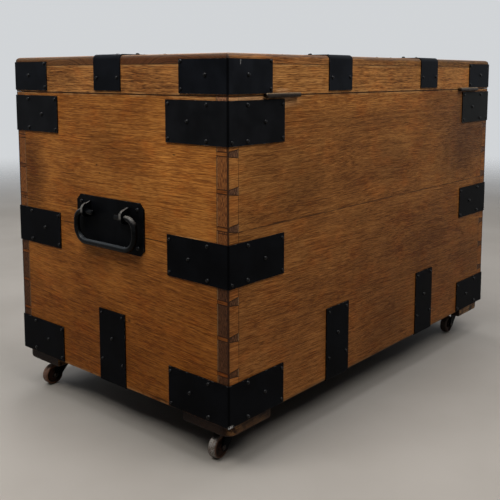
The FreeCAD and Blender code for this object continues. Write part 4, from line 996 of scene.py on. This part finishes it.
screw_metal = steel_material("screw_steel", (0.30, 0.27, 0.24), (0.12, 0.09, 0.07), (0.10, 0.04, 0.018))
HINGE_MIDDLES = (0.2975, -0.308)
SCREW_STEP = 0.029
SCREW_LINE = HALF_DEPTH - 0.011
HINGE_SCREW = (0.0030, 0.0009)
BODY_LEAF_TOP = 0.5277
LID_LEAF_FOOT = 0.5309
body_screws = bmesh.new()
lid_screws = bmesh.new()
for centre in HINGE_MIDDLES:
    for step in (-1, 0, 1):
        at = (centre + SCREW_STEP * step, SCREW_LINE)
        add_slotted(body_screws, (*at, BODY_LEAF_TOP), (0, 0, 1), *HINGE_SCREW, hand.uniform(*SLOT_TURNS))
        add_slotted(lid_screws, (*at, LID_LEAF_FOOT), (0, 0, -1), *HINGE_SCREW, hand.uniform(*SLOT_TURNS))
new_piece("hinge_screws_body", body_screws, "chest", screw_metal)
new_piece("hinge_screws_lid", lid_screws, "lid", screw_metal)


# ---- Drop handles --------------------------------
# On each end a black plate with two ears carries a bent round bail. Four domed rivets hold the plate.
# Hands have rubbed the bail smooth, so its paint is glossier than the plate's.

PLATE_MIDDLE = 0.3253
PLATE_FACE = HALF_LENGTH + 0.0025
PLATE_HALF = (0.0815, 0.0407)
PLATE_BOX = (
    (HALF_LENGTH, -PLATE_HALF[0], PLATE_MIDDLE - PLATE_HALF[1]),
    (PLATE_FACE, PLATE_HALF[0], PLATE_MIDDLE + PLATE_HALF[1]),
)
PIVOT_HEIGHT = 0.3416


def plate_material():
    """Painted plate whose ears carry a pale line along their upper outer edge: partly steel rubbed bare,
    partly painted highlight.
    """
    material, place, normal = new_material("painted_handle_plate")
    x, y, z = unsigned(place)
    edge = from_edge(join(calc("MINIMUM", x, PLATE_FACE), y, z), *PLATE_BOX)
    paint = use_group(black_paint, Place=place, Edge=edge, Wear=1.0, Rough=0.36)
    # Painted highlight, partly bare steel: the ears' outer edge is paler only above the pivot, where it faces
    # the light.
    rubbed = times(
        fade(unsigned(normal)[1], 0.3, 0.7),
        ramp(noise(place, 210.0, 3.0), 0.34, 0.52),
        ramp(x, PLATE_FACE + 0.0008, PLATE_FACE + 0.0030),
        ramp(z, PIVOT_HEIGHT - 0.0030, PIVOT_HEIGHT + 0.0020),
    )
    colour = tint(rubbed, paint["Colour"], (0.130, 0.124, 0.116))
    metal = most(paint["Metallic"], times(rubbed, 0.5))
    surface(colour, paint["Roughness"], paint["Height"], *PLATE_RELIEF, metal)
    return material


def bail_material():
    """Paint rubbed glossy, with a painted highlight on top of the foot bar, and on top of the bends a painted
    highlight that also stands for metal rubbed bare.
    """
    material, place, normal = new_material("painted_bail")
    paint = use_group(black_paint, Place=place, Edge=1.0, Wear=0.0, Rough=0.16,
                      Black=(0.0018, 0.0020, 0.0024))
    _, y, z = split(place)
    facing_up = ramp(split(normal)[2], 0.30, 0.85)
    bend_highlight = times(ramp(z, PIVOT_HEIGHT - 0.024, PIVOT_HEIGHT - 0.006), ramp(size_of(y), 0.0495, 0.0525))
    broken = ramp(noise(place, 110.0), 0.35, 0.65, 0.2, 1.0)
    # Painted highlights on the upward faces: along the foot bar, and on the bends, where they also stand for
    # metal rubbed bare.
    foot_bar_highlight = times(fade(z, PIVOT_HEIGHT - 0.038, PIVOT_HEIGHT - 0.030), facing_up)
    colour = tint(foot_bar_highlight, paint["Colour"], (0.034, 0.038, 0.042))
    colour = tint(times(bend_highlight, broken, facing_up), colour, (0.120, 0.114, 0.106))
    surface(colour, paint["Roughness"], paint["Height"], 0.25, 0.0005, 0.07)
    return material


plate_paint = plate_material()
bail_paint = bail_material()
RIVET_Y, RIVET_Z = 0.068, 0.0297
for side, sx in (("right", 1), ("left", -1)):
    dress("handle_plate_" + side, plate_paint)
    dress("handle_bail_" + side, bail_paint)
    rivets = bmesh.new()
    for y in (-RIVET_Y, RIVET_Y):
        for z in (-RIVET_Z, RIVET_Z):
            driven(rivets, (sx * PLATE_FACE, y, PLATE_MIDDLE + z), (sx, 0, 0), LARGE_NAIL)
    new_piece("handle_rivets_" + side, rivets, "chest", nail_paint)


# ---- Casters -------------------------------------
# Small swivel casters: a black plate and kingpin screwed to the block, a black fork, and a dished
# iron wheel on a riveted axle. The treads are worn silver and the dished sides are rusty brown.

CASTER_PLATE = ((0.34, 0.18, 0.037), (0.385, 0.2265, 0.0475))
dress("caster_plates", iron_material("painted_caster_plates", *CASTER_PLATE))
SWIVEL = (0.364, 0.2055)
CASTER_TURNS = {"back_right": 5.0, "back_left": 3.0, "front_left": -2.0, "front_right": -3.0}
axle_metal = steel_material("axle_steel", (0.030, 0.022, 0.017), (0.012, 0.008, 0.006),
                            (0.050, 0.020, 0.010), 140.0, metal=0.4, gloss=0.15)
RIM_BAND = (0.0134, 0.0152)
TREAD_BAND = (0.0160, 0.0170)
WHEEL_FINISH = {
    # how far the tread is polished, and the colour of the rim's edge
    "back_right": (1.0, (0.095, 0.050, 0.033)),
    "back_left": (0.12, (0.030, 0.017, 0.012)),
    "front_left": (0.45, (0.080, 0.040, 0.026)),
    "front_right": (0.20, (0.135, 0.062, 0.036)),
}


def wheel_material(name, centre, turn, polish, rim_colour):
    """Cast iron: a rolled tread, polished on some wheels, and rusty black dished sides with a worn rim."""
    material, place, _ = new_material(name)
    off = vector("SUBTRACT", place, centre)
    off = shade("VectorRotate", {"Vector": off, "Axis": (0, 0, 1), "Angle": -turn},
                rotation_type="AXIS_ANGLE")
    x, _, z = split(off)
    radius = vector("LENGTH", join(x, 0.0, z), out=1)
    wide = noise(place, 130.0, 4.0)
    fine = noise(place, 700.0, 3.0)
    rust = tint(ramp(wide, 0.38, 0.66), (0.008, 0.0045, 0.0035), (0.038, 0.015, 0.009))
    rim = times(ramp(radius, *RIM_BAND), ramp(wide, 0.30, 0.55, 0.55, 1.0))
    rust = tint(rim, rust, rim_colour)
    worn = times(ramp(wide, 0.36, 0.52, 0.5, 1.0), polish)
    tread = times(ramp(radius, *TREAD_BAND), worn)
    silver = tint(ramp(fine, 0.4, 0.65), (0.27, 0.25, 0.23), (0.060, 0.048, 0.040))
    surface(tint(tread, rust, silver), linear(tread, -0.25, 0.62), fine, gloss=0.15, metal=times(tread, 0.6))
    return material


PLATE_SCREW = (0.0024, 0.0010)
PLATE_SCREW_SIDE = 0.0165
PLATE_FOOT = 0.0452
AROUND = Vector((1, 1, 1))
plate_screws = bmesh.new()
for corner, (sx, sy) in CORNERS.items():
    low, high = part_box("caster_wheel_" + corner)
    turn = math.radians(CASTER_TURNS[corner])
    wheel = wheel_material("worn_wheel_" + corner, tuple((low + high) / 2), turn, *WHEEL_FINISH[corner])
    dress("caster_wheel_" + corner, wheel)
    dress("caster_axle_" + corner, axle_metal)
    low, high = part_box("caster_fork_" + corner)
    painted = iron_material("painted_fork_" + corner, tuple(low - AROUND), tuple(high + AROUND), wear=0.0)
    dress("caster_fork_" + corner, painted)
    for ox in (-PLATE_SCREW_SIDE, PLATE_SCREW_SIDE):
        for oy in (-PLATE_SCREW_SIDE, PLATE_SCREW_SIDE):
            at = (sx * SWIVEL[0] + ox, sy * SWIVEL[1] + oy, PLATE_FOOT)
            add_slotted(plate_screws, at, (0, 0, -1), *PLATE_SCREW, hand.uniform(*SLOT_TURNS))
new_piece("caster_screws", plate_screws, "chest", screw_metal)


# ---- Lock ----------------------------------------
# A steel bolt lock let into the middle of the front, its link plate under the lid's front rail, and a
# small black keyhole plate held by four pins.

lock_metal = steel_material("lock_steel", (0.26, 0.24, 0.21), (0.11, 0.085, 0.065), (0.09, 0.035, 0.015),
                            45.0)
for name in ("lock_case", "lock_bolt", "link_plate"):
    dress(name, lock_metal)
KEYHOLE_FACE = HALF_DEPTH + 0.0015
KEYHOLE_PLATE = ((-0.012, HALF_DEPTH, 0.4721), (0.012, KEYHOLE_FACE, 0.5101))
dress("escutcheon", iron_material("painted_escutcheon", *KEYHOLE_PLATE))
KEYHOLE_PIN = (0.0013, 0.0008)
PIN_X, PIN_Z = 0.0078, (0.4765, 0.5057)
keyhole_pins = bmesh.new()
for x in (-PIN_X, PIN_X):
    for z in PIN_Z:
        at = Vector((x, -KEYHOLE_FACE, z))
        add_dome(keyhole_pins, at, (0, -1, 0), *KEYHOLE_PIN, rings=3, sides=12)
new_piece("keyhole_pins", keyhole_pins, "chest", nail_paint)
